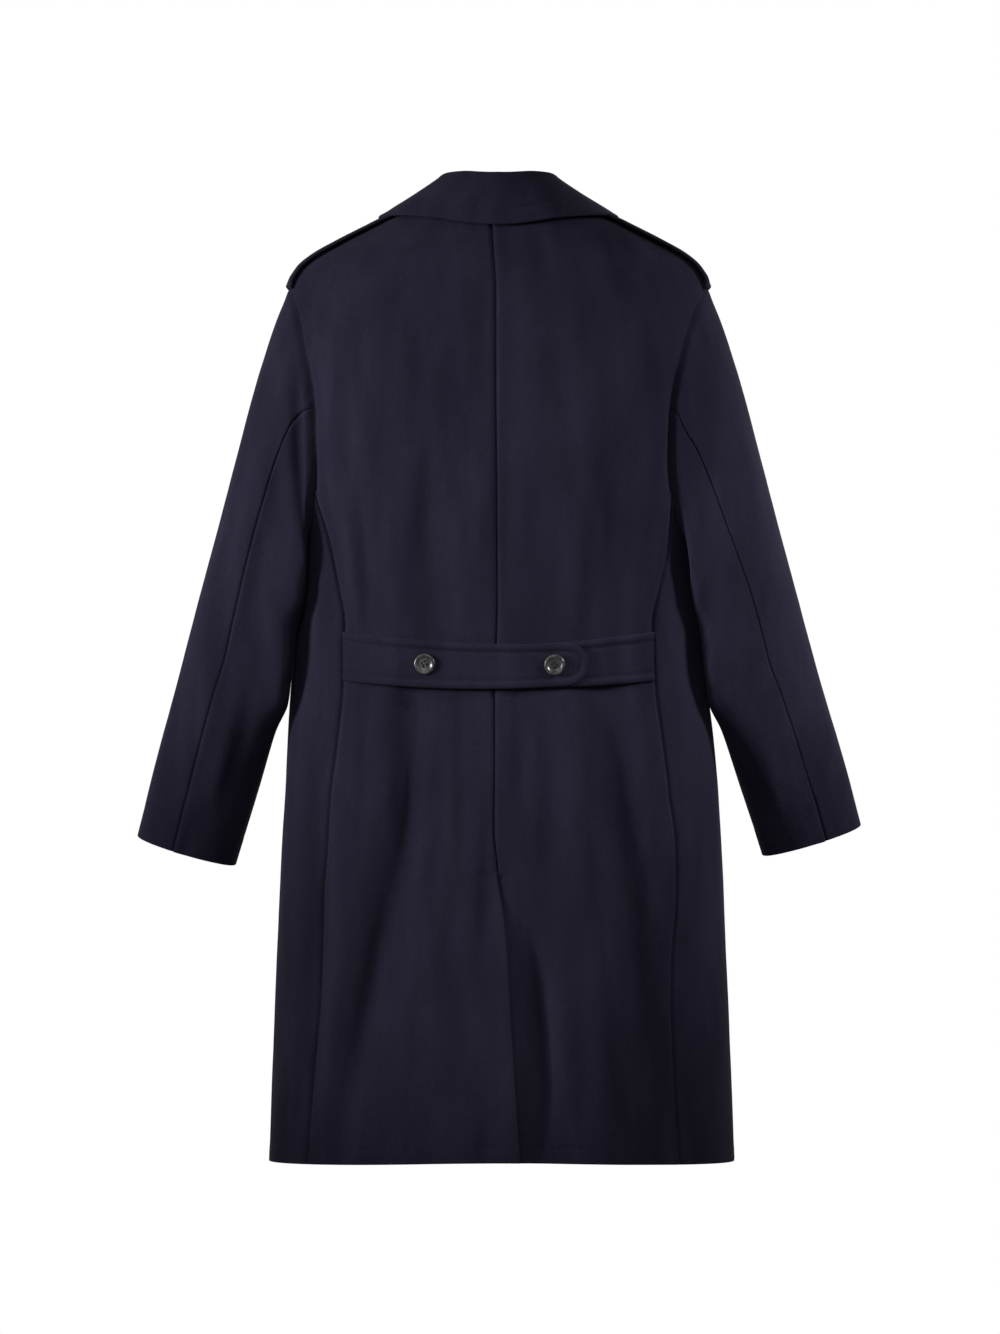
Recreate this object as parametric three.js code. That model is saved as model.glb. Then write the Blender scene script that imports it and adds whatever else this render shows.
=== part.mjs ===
// A double-breasted wool overcoat with a half belt, shoulder straps and a centre vent,
// filled out as it hangs on a wearer. Millimetres, +Z up, +X the wearer's left, +Y their back.
// The origin is midway between the neck ends of the two shoulder seams, where the coat is held.
// A point of the coat is found from a level, the height of its ring at the side, and an angle
// round that ring: 0 at the wearer's left side, 90 degrees at the centre back.
import * as THREE from "three";

const HEM = -1061;
const NECKLINE = -3;
const CLOTH = 2.2;
const DOUBLE_CLOTH = 2.6;
const SEAM_GAP = 0.3;
const BACK_COLUMNS = 8;
const FRONT_COLUMNS = 9;
const QUARTER = Math.PI / 2;
const degrees = (value) => (value * Math.PI) / 180;

// Rings of the body, from hem to neck. level: height at the side. half: half-width.
// back, backZ and front, frontZ: the ring at the centre back and front. square: its exponent.
const SECTIONS = [
  { level: -1061, half: 257, middle: 0, back: 147, backZ: -1055, front: -158, frontZ: -1055, square: 2.3 },
  { level: -930, half: 252.2, middle: 0, back: 143, backZ: -926, front: -155, frontZ: -926, square: 2.3 },
  { level: -800, half: 246.3, middle: 0, back: 138, backZ: -798, front: -150, frontZ: -799, square: 2.3 },
  { level: -660, half: 239.2, middle: 0, back: 130, backZ: -660, front: -144, frontZ: -660, square: 2.35 },
  { level: -578, half: 233, middle: 0, back: 121, backZ: -578, front: -139, frontZ: -578, square: 2.4 },
  { level: -506, half: 226, middle: 0, back: 115, backZ: -506, front: -136, frontZ: -506, square: 2.4 },
  { level: -440, half: 220, middle: 0, back: 122, backZ: -440, front: -138, frontZ: -440, square: 2.4 },
  { level: -385, half: 217, middle: 0, back: 126, backZ: -391, front: -139, frontZ: -396, square: 2.45 },
  { level: -320, half: 229, middle: 0, back: 129, backZ: -340, front: -139, frontZ: -350, square: 2.5 },
  { level: -250, half: 239, middle: 0, back: 131, backZ: -287, front: -138, frontZ: -304, square: 2.5 },
  { level: -180, half: 241, middle: 1, back: 131, backZ: -238, front: -136, frontZ: -262, square: 2.45 },
  { level: -130, half: 236, middle: 2, back: 129, backZ: -202, front: -133, frontZ: -230, square: 2.3 },
  { level: -101, half: 228.5, middle: 3, back: 126.5, backZ: -176, front: -130, frontZ: -210, square: 2.15 },
  { level: -83, half: 219, middle: 3, back: 122, backZ: -148, front: -126, frontZ: -190, square: 2.1 },
  { level: -71, half: 205, middle: 4, back: 118, backZ: -124, front: -121, frontZ: -172, square: 2.05 },
  { level: -57, half: 180, middle: 5, back: 110, backZ: -93, front: -112, frontZ: -150, square: 2 },
  { level: -37, half: 140, middle: 6, back: 98, backZ: -59, front: -97, frontZ: -122, square: 2 },
  { level: -16, half: 100, middle: 8, back: 84, backZ: -32, front: -78, frontZ: -96, square: 2 },
  { level: -3, half: 75, middle: 8, back: 70, backZ: -14, front: -58, frontZ: -75, square: 2 },
];
const RING_DIP = 1.7;

// The armhole is an oval in level and angle, from the shoulder point down to the armpit.
// The wearer's right shoulder is drawn back further than the left one.
const ARMHOLE = { top: -101, bottom: -385 };
const ARMHOLE_WIDEST = { leftBack: degrees(22.5), rightBack: degrees(26.5), front: degrees(22) };
const ARMHOLE_POWER = { upper: 0.9, lower: 0.5 };
const ARMHOLE_MIDDLE = (ARMHOLE.top + ARMHOLE.bottom) / 2;
const ARMHOLE_REACH = (ARMHOLE.top - ARMHOLE.bottom) / 2;
const JOIN_TURN = 125;

// Soft troughs in the cloth, from their top to their bottom end. bow moves the middle sideways.
const FOLDS = [
  { face: 1, top: -300, topX: 84, bottom: -520, bottomX: 96, bow: 0, width: 19, depth: 4.5 },
  { face: 1, top: -385, topX: 172, bottom: -520, bottomX: 160, bow: 0, width: 11, depth: 3.5 },
  { face: 1, top: -265, topX: -128, bottom: -520, bottomX: -100, bow: 4, width: 20, depth: 5 },
  { face: 1, top: -400, topX: -166, bottom: -520, bottomX: -158, bow: 0, width: 11, depth: 3 },
  { face: 1, top: -505, topX: 98, bottom: -1085, bottomX: 196, bow: -8, width: 25, depth: 10 },
  { face: 1, top: -505, topX: 60, bottom: -840, bottomX: 74, bow: 0, width: 15, depth: 3.5 },
  { face: 1, top: -660, topX: 196, bottom: -1120, bottomX: 236, bow: 4, width: 20, depth: 6.5 },
  { face: 1, top: -505, topX: -104, bottom: -1100, bottomX: -172, bow: 12, width: 27, depth: 11 },
  { face: 1, top: -505, topX: -22, bottom: -720, bottomX: -18, bow: 0, width: 13, depth: 2.5 },
  { face: 1, top: -640, topX: -168, bottom: -1120, bottomX: -222, bow: 0, width: 17, depth: 4.5 },
  { face: -1, top: -600, topX: 128, bottom: -1130, bottomX: 152, bow: 0, width: 26, depth: 7 },
  { face: -1, top: -640, topX: -124, bottom: -1110, bottomX: -164, bow: 0, width: 28, depth: 8 },
  { face: -1, top: -380, topX: 170, bottom: -640, bottomX: 158, bow: 0, width: 18, depth: 3.5 },
  { face: -1, top: -400, topX: -168, bottom: -660, bottomX: -156, bow: 0, width: 18, depth: 3.5 },
];

// Where the two seams of each side panel run: distance from the centre, by height. The skirt's
// back is turned a little to the wearer's left, so its two back seams differ.
const BACK_SEAM = [
  { z: -1064, left: 214.5, right: 195.5 },
  { z: -1010, left: 212.5, right: 192.5 },
  { z: -946, left: 209.3, right: 190.3 },
  { z: -881, left: 205, right: 188.4 },
  { z: -838, left: 203.8, right: 189 },
  { z: -772, left: 201.7, right: 192.2 },
  { z: -713, left: 194.1, right: 190.6 },
  { z: -653, left: 186.5, right: 182.4 },
  { z: -604, left: 178.3, right: 177.2 },
  { z: -533, left: 169.5, right: 170.3 },
  { z: -475, left: 169, right: 169 },
  { z: -430, left: 177, right: 177 },
  { z: -389, left: 186, right: 186 },
];
const FRONT_SEAM = [
  { z: -1064, left: 222, right: 222 },
  { z: -800, left: 211, right: 211 },
  { z: -506, left: 196, right: 196 },
  { z: -400, left: 197, right: 197 },
];

// The front closure: how far each front passes the centre, and where its lapel starts to turn.
const FRONT = { past: 85, step: 1.6, fade: 42, breakZ: -343, neckX: 60, neckZ: 20 };
const CROSSING = { lift: 6.2, beside: 10, blend: 50, low: -386, lowFull: -346, highFull: -132, high: -58 };
const LAPEL = { gap: 2.8, tipX: 134, tipZ: -92, bellyX: 10.8, bellyZ: -4.2, rows: 12 };
// The lapel starts this far below the roll's end, and its edge stops at this share of the way.
const LAPEL_END = { below: 6, share: 0.985 };
// The lapel's top edge dips in the middle, over this share of its length.
const GORGE = { dip: 6, middle: 0.55, share: 0.2 };

// How far to the left of the middle the centre back seam runs, and below it the vent's upper edge.
const CENTRE_BACK = [
  { z: -1064, x: -20.5 },
  { z: -1024, x: -18.5 },
  { z: -972, x: -15 },
  { z: -902, x: -10.5 },
  { z: -838, x: -7 },
  { z: -790, x: -2.5 },
  { z: -744, x: 5 },
  { z: -680, x: 8 },
  { z: -554, x: 5.2 },
  { z: -455, x: 1.6 },
  { z: -185, x: 3 },
  { z: -115, x: 3 },
  { z: -60, x: 6 },
  { z: -14, x: 9 },
];
// The centre vent: its left side laps over its right side.
const VENT = { top: -744, under: 45, step: 1.7, rise: 44, from: 25, fade: 50, flare: 2.5 };

// Rings of the sleeve, from the armhole to the cuff, by their inner and outer points (in, out).
// tuck: how far towards the back the inner side is pressed, where it lies against the body.
const SLEEVE = [
  { along: 0, inX: 217, inZ: -385, outX: 229, outZ: -101, depth: 80, middle: 1, tuck: 0, square: 2.3 },
  { along: 0.06, inX: 215, inZ: -394, outX: 234, outZ: -115, depth: 81, middle: 1, tuck: 15, square: 2.25 },
  { along: 0.14, inX: 211, inZ: -405, outX: 244, outZ: -140, depth: 80, middle: 1, tuck: 34, square: 2.2 },
  { along: 0.24, inX: 209, inZ: -424, outX: 261.5, outZ: -193, depth: 79, middle: 1, tuck: 50, square: 2.1 },
  { along: 0.36, inX: 212, inZ: -448, outX: 283, outZ: -272, depth: 78, middle: 1, tuck: 50, square: 2.1 },
  { along: 0.48, inX: 220, inZ: -484, outX: 305, outZ: -356, depth: 76, middle: 0, tuck: 36, square: 2.1 },
  { along: 0.6, inX: 225.5, inZ: -532, outX: 327, outZ: -438, depth: 72, middle: -3, tuck: 44, square: 2.2 },
  { along: 0.66, inX: 229.5, inZ: -560, outX: 338, outZ: -480, depth: 69, middle: -6, tuck: 40, square: 2.2 },
  { along: 0.72, inX: 243, inZ: -588, outX: 349, outZ: -522, depth: 66, middle: -9, tuck: 22, square: 2.2 },
  { along: 0.86, inX: 264, inZ: -656, outX: 374, outZ: -612, depth: 57, middle: -18, tuck: 0, square: 2.2 },
  { along: 1, inX: 289, inZ: -737, outX: 398, outZ: -705, depth: 47, middle: -30, tuck: 0, square: 2.2 },
];
const SLEEVE_CLEAR = { seam: 0.8, body: 3, start: 0.05, fade: 0.4 };
// The steps that a sleeve's outward direction is worked out over, and its seams' half gap in degrees.
const SLEEVE_STEP = { along: 0.02, turn: 2, seam: 0.15 };
// Turns round the sleeve where its panels' columns run, besides the hind seam.
const TOP_TURNS = [-110, -90, -75, -60, -45, -30, -15, -6, 6, 15, 30, 45, 60];
const UNDER_TURNS = [110, 125, 135, 150, 165, 180, 195, 210, 225, 235, 250];
// The hind seam's turn round each sleeve, and how the right cuff hangs further out and up.
const HIND_SEAM = [
  { along: 0, left: 84, right: 83 },
  { along: 0.1, left: 80, right: 90.5 },
  { along: 0.3, left: 76, right: 92 },
  { along: 0.6, left: 75, right: 80 },
  { along: 1, left: 76, right: 75 },
];
const RIGHT_SLEEVE = { length: 0.982, swing: 4.5, from: 0.62 };
// The cuff is cut lower at the back of the wrist.
const CUFF_DROP = { by: 5, from: 0.8 };
// The collar, by the angle of the neckline: how high and how far inwards it stands to its fold,
// and the angle and level of the coat where the edge of its fall comes to lie.
const COLLAR = [
  { neck: 90, rise: 30, lean: 5, edgeAngle: 90, edgeLevel: -23 },
  { neck: 60, rise: 29, lean: 7, edgeAngle: 55, edgeLevel: -23 },
  { neck: 30, rise: 24, lean: 10, edgeAngle: 26, edgeLevel: -26 },
  { neck: 0, rise: 17, lean: 13, edgeAngle: 0, edgeLevel: -31 },
  { neck: -25, rise: 14, lean: 9, edgeAngle: -16, edgeLevel: -33 },
  { neck: -45, rise: 6.5, lean: 4, edgeAngle: -26, edgeLevel: -34 },
  { neck: -62, rise: 1.5, lean: 0.6, edgeAngle: -31, edgeLevel: -34 },
];
const COLLAR_LIE = 6.5;
const COLLAR_ROLL = 2.9;
const COLLAR_START = 0.7;
const COLLAR_EASE = 1.15;

const STRAP = { from: -9, to: -100, innerHalf: 20, outerHalf: 26, lie: 2.4, thick: 3.2, middle: 5 };
const BELT = { z: -507.5, sag: 11, seamX: 168 };
const OVER_BELT = { tipX: -97, seamHalf: 27, midHalf: 25.5, endHalf: 23.5, tipShare: 0.02 };
const UNDER_BELT = { tipX: 104, seamHalf: 27, endHalf: 20.5 };
const BELT_LIE = { under: 2.5, over: 6, ramp: 34 };
const BUTTON = { belt: 11.4, front: 13.5, thick: 4, sides: 20 };

const clamp01 = (value) => Math.min(1, Math.max(0, value));
const smooth = (value) => clamp01(value) ** 2 * (3 - 2 * clamp01(value));
const mix = (from, to, share) => from + (to - from) * share;

// A smooth value between the rows of a table that never passes beyond two neighbouring rows.
function read(table, column, key, at) {
  const rows = table[0][key] < table[table.length - 1][key] ? table : [...table].reverse();
  if (at <= rows[0][key]) return rows[0][column];
  if (at >= rows[rows.length - 1][key]) return rows[rows.length - 1][column];
  const i = rows.findIndex((row) => row[key] > at) - 1;
  const slope = (k) => (rows[k + 1][column] - rows[k][column]) / (rows[k + 1][key] - rows[k][key]);
  const tangent = (k) => {
    if (k === 0) return slope(0);
    if (k === rows.length - 1) return slope(k - 1);
    const before = slope(k - 1);
    const after = slope(k);
    return before * after > 0 ? (2 * before * after) / (before + after) : 0;
  };
  const span = rows[i + 1][key] - rows[i][key];
  const t = (at - rows[i][key]) / span;
  const start = (2 * t + 1) * (1 - t) ** 2 * rows[i][column] + t * (1 - t) ** 2 * span * tangent(i);
  const end = t * t * (3 - 2 * t) * rows[i + 1][column] + t * t * (t - 1) * span * tangent(i + 1);
  return start + end;
}

// The smooth outer form of the coat, with no folds in it.
function formPoint(angle, level) {
  const at = (column) => read(SECTIONS, column, "level", level);
  const across = Math.cos(angle);
  const deep = Math.sin(angle);
  const middle = at("middle");
  const depth = deep >= 0 ? at("back") - middle : middle - at("front");
  const square = at("square");
  const wide = Math.abs(across / at("half")) ** square;
  const reach = (wide + Math.abs(deep / depth) ** square) ** (-1 / square);
  const dip = (deep >= 0 ? at("backZ") : at("frontZ")) - level;
  return new THREE.Vector3(reach * across, middle + reach * deep, level + dip * Math.abs(deep) ** RING_DIP);
}

// The outward direction of the form.
function formNormal(angle, level) {
  const turn = 0.004;
  const rise = 1.5;
  const low = Math.max(HEM, level - rise);
  const high = Math.min(NECKLINE, level + rise);
  const round = formPoint(angle + turn, level).sub(formPoint(angle - turn, level));
  const up = formPoint(angle, high).sub(formPoint(angle, low));
  return round.cross(up).normalize();
}

// How far the cloth sinks in at a place on the back (face 1) or the front (face -1).
function foldDepth(point) {
  const face = point.y >= 0 ? 1 : -1;
  return FOLDS.filter((fold) => fold.face === face).reduce((sum, fold) => {
    const along = (point.z - fold.top) / (fold.bottom - fold.top);
    if (along <= 0 || along >= 1) return sum;
    const centre = mix(fold.topX, fold.bottomX, along) + fold.bow * Math.sin(Math.PI * along);
    const aside = (point.x - centre) / fold.width;
    return sum + fold.depth * Math.sin(Math.PI * along) ** 0.7 * Math.exp(-aside * aside);
  }, 0);
}

// A point of the coat at a height over its cloth, folds included.
function coatPoint(angle, level, height = 0) {
  const point = formPoint(angle, level);
  const away = height - foldDepth(point);
  return point.addScaledVector(formNormal(angle, level), away);
}

// The angle in the ring at a level, on the back (1) or front (-1), where it is x from the centre.
function angleAt(level, x, face) {
  let near = 0;
  let far = Math.PI;
  for (let i = 0; i < 40; i++) {
    const middle = (near + far) / 2;
    if (formPoint(face * middle, level).x > x) near = middle;
    else far = middle;
  }
  return (face * (near + far)) / 2;
}

// The angle and level of the place on the front that is seen at x and z, found in steps.
const STEPS = { count: 30, share: 0.8 };
function frontPlace(x, z) {
  let level = z;
  let angle = 0;
  for (let i = 0; i < STEPS.count; i++) {
    angle = angleAt(level, x, -1);
    level = Math.min(NECKLINE, level + (z - formPoint(angle, level).z) * STEPS.share);
  }
  return { angle, level };
}

// The level of the armhole's edge at a turn round it: 0 at the shoulder point, 180 at the armpit.
const armholeLevel = (turn) => ARMHOLE_MIDDLE + ARMHOLE_REACH * Math.cos(degrees(turn));

function armholeAngle(turn, side) {
  const around = Math.sin(degrees(turn));
  const power = Math.cos(degrees(turn)) > 0 ? ARMHOLE_POWER.upper : ARMHOLE_POWER.lower;
  const back = side > 0 ? ARMHOLE_WIDEST.leftBack : ARMHOLE_WIDEST.rightBack;
  const widest = around >= 0 ? back : ARMHOLE_WIDEST.front;
  return Math.sign(around) * widest * Math.abs(around) ** power;
}

// Where the coat's left front folds back: x at a height. The right front is its mirror image.
function rollX(z) {
  const share = (FRONT.neckZ - z) / (FRONT.neckZ - FRONT.breakZ);
  return Math.max(-FRONT.past, mix(FRONT.neckX, -FRONT.past, share));
}

// How far a front stands off the form. The left one (side 1) laps over the right one and over
// the right lapel that is folded away beneath it.
function frontHeight(side, point) {
  const x = side * point.x;
  const below = smooth((CROSSING.high - point.z) / (CROSSING.high - CROSSING.highFull));
  const step = FRONT.step * side * below * smooth((FRONT.past + FRONT.fade - x) / FRONT.fade);
  if (side < 0) return step;
  const above = smooth((point.z - CROSSING.low) / (CROSSING.lowFull - CROSSING.low));
  const aside = x + rollX(point.z) - CROSSING.beside;
  return step + CROSSING.lift * above * below * (1 - smooth(aside / CROSSING.blend));
}

// How far a back panel stands off the form beside the vent.
function backHeight(side, point) {
  const x = side * point.x;
  const below = smooth((VENT.top + VENT.rise - point.z) / VENT.rise);
  const near = smooth((VENT.fade + VENT.from - x) / VENT.fade);
  const low = clamp01((VENT.top - point.z) / (VENT.top - HEM));
  return below * near * (side > 0 ? VENT.step + VENT.flare * low : -VENT.step);
}

// A closed wall between two grids of points with the same rows and columns.
function wallBetween(outer, inner) {
  const rows = outer.length;
  const columns = outer[0].length;
  const positions = [...outer.flat(), ...inner.flat()].flatMap((p) => [p.x, p.y, p.z]);
  const outerAt = (i, j) => i * columns + j;
  const innerAt = (i, j) => rows * columns + outerAt(i, j);
  const index = [];
  const quad = (a, b, c, d) => index.push(a, b, c, a, c, d);
  for (let i = 0; i < rows - 1; i++) {
    for (let j = 0; j < columns - 1; j++) {
      quad(outerAt(i, j), outerAt(i, j + 1), outerAt(i + 1, j + 1), outerAt(i + 1, j));
      quad(innerAt(i, j), innerAt(i + 1, j), innerAt(i + 1, j + 1), innerAt(i, j + 1));
    }
    const end = columns - 1;
    quad(outerAt(i, 0), outerAt(i + 1, 0), innerAt(i + 1, 0), innerAt(i, 0));
    quad(outerAt(i + 1, end), outerAt(i, end), innerAt(i, end), innerAt(i + 1, end));
  }
  for (let j = 0; j < columns - 1; j++) {
    const last = rows - 1;
    quad(outerAt(0, j + 1), outerAt(0, j), innerAt(0, j), innerAt(0, j + 1));
    quad(outerAt(last, j), outerAt(last, j + 1), innerAt(last, j + 1), innerAt(last, j));
  }
  const geometry = new THREE.BufferGeometry();
  geometry.setAttribute("position", new THREE.Float32BufferAttribute(positions, 3));
  geometry.setIndex(index);
  return facingOut(geometry);
}

// Turns every face round if the closed geometry is inside out.
function facingOut(geometry) {
  const { position } = geometry.attributes;
  const at = (k) => new THREE.Vector3().fromBufferAttribute(position, geometry.index.getX(k));
  let volume = 0;
  for (let k = 0; k < geometry.index.count; k += 3) volume += at(k).dot(at(k + 1).cross(at(k + 2)));
  if (volume < 0) geometry.setIndex([...geometry.index.array].reverse());
  geometry.computeVertexNormals();
  return geometry;
}

// The direction across a grid at each of its points.
function gridNormals(grid) {
  const last = grid.length - 1;
  const end = grid[0].length - 1;
  return grid.map((row, i) =>
    row.map((_, j) => {
      const up = grid[Math.min(last, i + 1)][j].clone().sub(grid[Math.max(0, i - 1)][j]);
      const along = grid[i][Math.min(end, j + 1)].clone().sub(grid[i][Math.max(0, j - 1)]);
      return along.cross(up).normalize();
    }),
  );
}

// A closed wall of even thickness around a grid of points.
function wallAround(grid, thickness) {
  const normals = gridNormals(grid);
  const moved = (by) =>
    grid.map((row, i) => row.map((point, j) => point.clone().addScaledVector(normals[i][j], by)));
  return wallBetween(moved(thickness / 2), moved(-thickness / 2));
}

// A body panel: one row of angles for each level, with the height of its outer face over the form.
function bodyPanel(rows, height = () => 0) {
  const point = (angle, level, inwards) => {
    const over = height(formPoint(angle, level));
    return coatPoint(angle, level, over - inwards);
  };
  const face = (inwards) => rows.map((row) => row.map(({ angle, level }) => point(angle, level, inwards)));
  return wallBetween(face(0), face(CLOTH));
}

// Evenly spaced places from one angle to another at a level.
function spaced(level, from, to, count) {
  return Array.from({ length: count + 1 }, (_, i) => ({ level, angle: mix(from, to, i / count) }));
}

const mirrored = (angle, side) => (side > 0 ? angle : Math.PI - angle);
const mirrorRows = (rows, side) =>
  rows.map((row) => row.map(({ level, angle }) => ({ level, angle: mirrored(angle, side) })));

// Half of a seam's gap as an angle, at a level.
const gapAngle = (level) => SEAM_GAP / 2 / read(SECTIONS, "half", "level", level);

const JOIN_LEVEL = armholeLevel(JOIN_TURN);
const LOWER_LEVELS = [
  HEM, -1024, -975, -925, -875, -825, -785, VENT.top - 12, VENT.top + 4, -700, -655, -610, -575, -540, -506,
  -472, -440, -412, -388, -365, -345, JOIN_LEVEL,
];
const ARMHOLE_TURNS = [110, 90, 75, 60, 45, 30, 15, 6];
const SHOULDER_LEVELS = [ARMHOLE.top, -92, -83, -71, -57, -37, -16, NECKLINE];

// The seam between a side panel and the back (face 1) or the front (face -1).
function seamAngle(level, face, side) {
  const join = armholeAngle(face * JOIN_TURN, side);
  if (level >= JOIN_LEVEL) return join;
  const joinX = formPoint(join, JOIN_LEVEL).x;
  const table = face > 0 ? BACK_SEAM : FRONT_SEAM;
  const rows = [...table, { z: JOIN_LEVEL, left: joinX, right: joinX }];
  return angleAt(level, read(rows, side > 0 ? "left" : "right", "z", level), face);
}

// The outer boundary of a back or front panel, from the hem to the neck: seam, armhole, shoulder.
function panelEdge(face, side) {
  const seam = LOWER_LEVELS.map((level) => ({
    level,
    angle: seamAngle(level, face, side) + face * gapAngle(level),
  }));
  const hole = ARMHOLE_TURNS.map((turn) => ({
    level: armholeLevel(turn),
    angle: armholeAngle(face * turn, side) + face * gapAngle(armholeLevel(turn)),
  }));
  const shoulder = SHOULDER_LEVELS.map((level) => ({ level, angle: face * gapAngle(level) }));
  return [...seam, ...hole, ...shoulder];
}

// The centre edge of a back panel, in its own half's mirror: the centre seam, then the vent.
function backEdgeX(side, level) {
  const z = formPoint(QUARTER, level).z;
  if (side < 0 && level <= VENT.top) return -VENT.under;
  return side * read(CENTRE_BACK, "x", "z", z) + SEAM_GAP / 2;
}

function backPanel(side) {
  const rows = panelEdge(1, side).map(({ level, angle }) =>
    spaced(level, angle, angleAt(level, backEdgeX(side, level), 1), BACK_COLUMNS),
  );
  return bodyPanel(mirrorRows(rows, side), (point) => backHeight(side, point));
}

function sidePanel(side) {
  const turns = [JOIN_TURN, 135, 150, 165, 180, 195, 210, 225, 360 - JOIN_TURN];
  const top = turns.map((turn) => ({ turn, angle: armholeAngle(turn, side), level: armholeLevel(turn) }));
  const span = top[0].angle - top[top.length - 1].angle;
  const start = -506;
  const rows = LOWER_LEVELS.map((level) =>
    top.map((place) => {
      const share = (top[0].angle - place.angle) / span;
      const rise = Math.max(0, (level - start) / (JOIN_LEVEL - start));
      const low = level + (place.level - JOIN_LEVEL) * rise;
      const back = seamAngle(level, 1, side) - gapAngle(level);
      const front = seamAngle(level, -1, side) + gapAngle(level);
      return { level: low, angle: mix(back, front, share) };
    }),
  );
  const height = (point) => (point.y >= 0 ? backHeight(side, point) : frontHeight(side, point));
  return bodyPanel(mirrorRows(rows, side), height);
}

// The angle where a front's ring at a level reaches its edge or, above the break, its roll line.
function frontEdgeAngle(level) {
  let near = 0;
  let far = degrees(150);
  for (let i = 0; i < 40; i++) {
    const middle = (near + far) / 2;
    const point = formPoint(-middle, level);
    if (point.x > rollX(point.z)) near = middle;
    else far = middle;
  }
  return -(near + far) / 2;
}

function frontPanel(side) {
  const rows = panelEdge(-1, side).map(({ level, angle }) =>
    spaced(level, angle, frontEdgeAngle(level), FRONT_COLUMNS),
  );
  return bodyPanel(mirrorRows(rows, side), (point) => frontHeight(side, point));
}

// A place seen at x and z on a front, at a height over its cloth.
function onFront(side, x, z, height) {
  const place = frontPlace(x, z);
  const form = formPoint(place.angle, place.level);
  form.x *= side;
  const angle = mirrored(place.angle, side);
  return coatPoint(angle, place.level, frontHeight(side, form) + height);
}

// The outer edge of the lapel, from the gorge to just short of the break.
function lapelEdge(share) {
  const bend = Math.sin(Math.PI * share);
  const down = share * LAPEL_END.share;
  return {
    x: mix(LAPEL.tipX, rollX(FRONT.breakZ), down) + bend * LAPEL.bellyX,
    z: mix(LAPEL.tipZ, FRONT.breakZ, down) + bend * LAPEL.bellyZ,
  };
}

// The direction across the roll line, away from the front.
function acrossRoll() {
  const run = FRONT.neckX + FRONT.past;
  const drop = FRONT.neckZ - FRONT.breakZ;
  const length = Math.hypot(run, drop);
  return { x: -drop / length, z: run / length };
}

// The lapel rolls off the front's edge in a half circle and lies back over it.
function lapelPanel(side) {
  const top = formPoint(frontEdgeAngle(NECKLINE), NECKLINE);
  const radius = (LAPEL.gap + DOUBLE_CLOTH) / 2;
  const away = acrossRoll();
  const across = [0.06, 0.2, 0.4, 0.6, 0.8, 1];
  const rollTurns = [0, 50, 100, 145, 180];
  const grid = Array.from({ length: LAPEL.rows + 1 }, (_, i) => {
    const share = i / LAPEL.rows;
    const z = mix(top.z, FRONT.breakZ + LAPEL_END.below, share);
    const x = rollX(z);
    const edge = lapelEdge(share);
    const roll = rollTurns.map((turn) => {
      const out = 3 * SEAM_GAP + radius * Math.sin(degrees(turn));
      const height = radius * (1 - Math.cos(degrees(turn))) - CLOTH / 2;
      return onFront(side, x + out * away.x, z + out * away.z, height);
    });
    const lying = across.map((part) => {
      const nearMiddle = 1 - Math.abs(part - GORGE.middle) / GORGE.middle;
      const dip = GORGE.dip * nearMiddle * (1 - smooth(share / GORGE.share));
      return onFront(side, mix(x, edge.x, part), mix(z, edge.z, part) - dip, 2 * radius - CLOTH / 2);
    });
    return [...roll, ...lying];
  });
  return wallAround(grid, DOUBLE_CLOTH);
}

// The collar's neckline point, and the step from it up to the fold.
function collarStand(neck) {
  const at = (column) => read(COLLAR, column, "neck", Math.min(90, neck));
  const angle = degrees(neck);
  const base = formPoint(angle, NECKLINE);
  const inwards = new THREE.Vector3(-base.x, formPoint(0, NECKLINE).y - base.y, 0).normalize();
  const step = inwards.clone().multiplyScalar(at("lean"));
  step.z = at("rise");
  return { base, step, outwards: inwards.negate(), at };
}

const COLLAR_STATIONS = Array.from({ length: 13 }, (_, i) => 90 - i * ((90 + 61) / 12));

// A grid made for the left half of the collar, carried round to the right half.
function wholeCollar(column) {
  const left = COLLAR_STATIONS.map(column);
  const flip = (point) => new THREE.Vector3(-point.x, point.y, point.z);
  const right = left.slice(1).reverse().map((points) => points.map(flip));
  return [...right, ...left];
}

function collarStandPanel() {
  const shares = [0.06, 0.35, 0.7, 1];
  const grid = wholeCollar((neck) => {
    const { base, step, outwards } = collarStand(neck);
    return shares.map((share) => {
      const lift = mix(COLLAR_START, step.length() - SEAM_GAP / 2, share);
      const along = step.clone().normalize();
      return base.clone().addScaledVector(along, lift).addScaledVector(outwards, -CLOTH / 2);
    });
  });
  return wallAround(grid, CLOTH);
}

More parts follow.
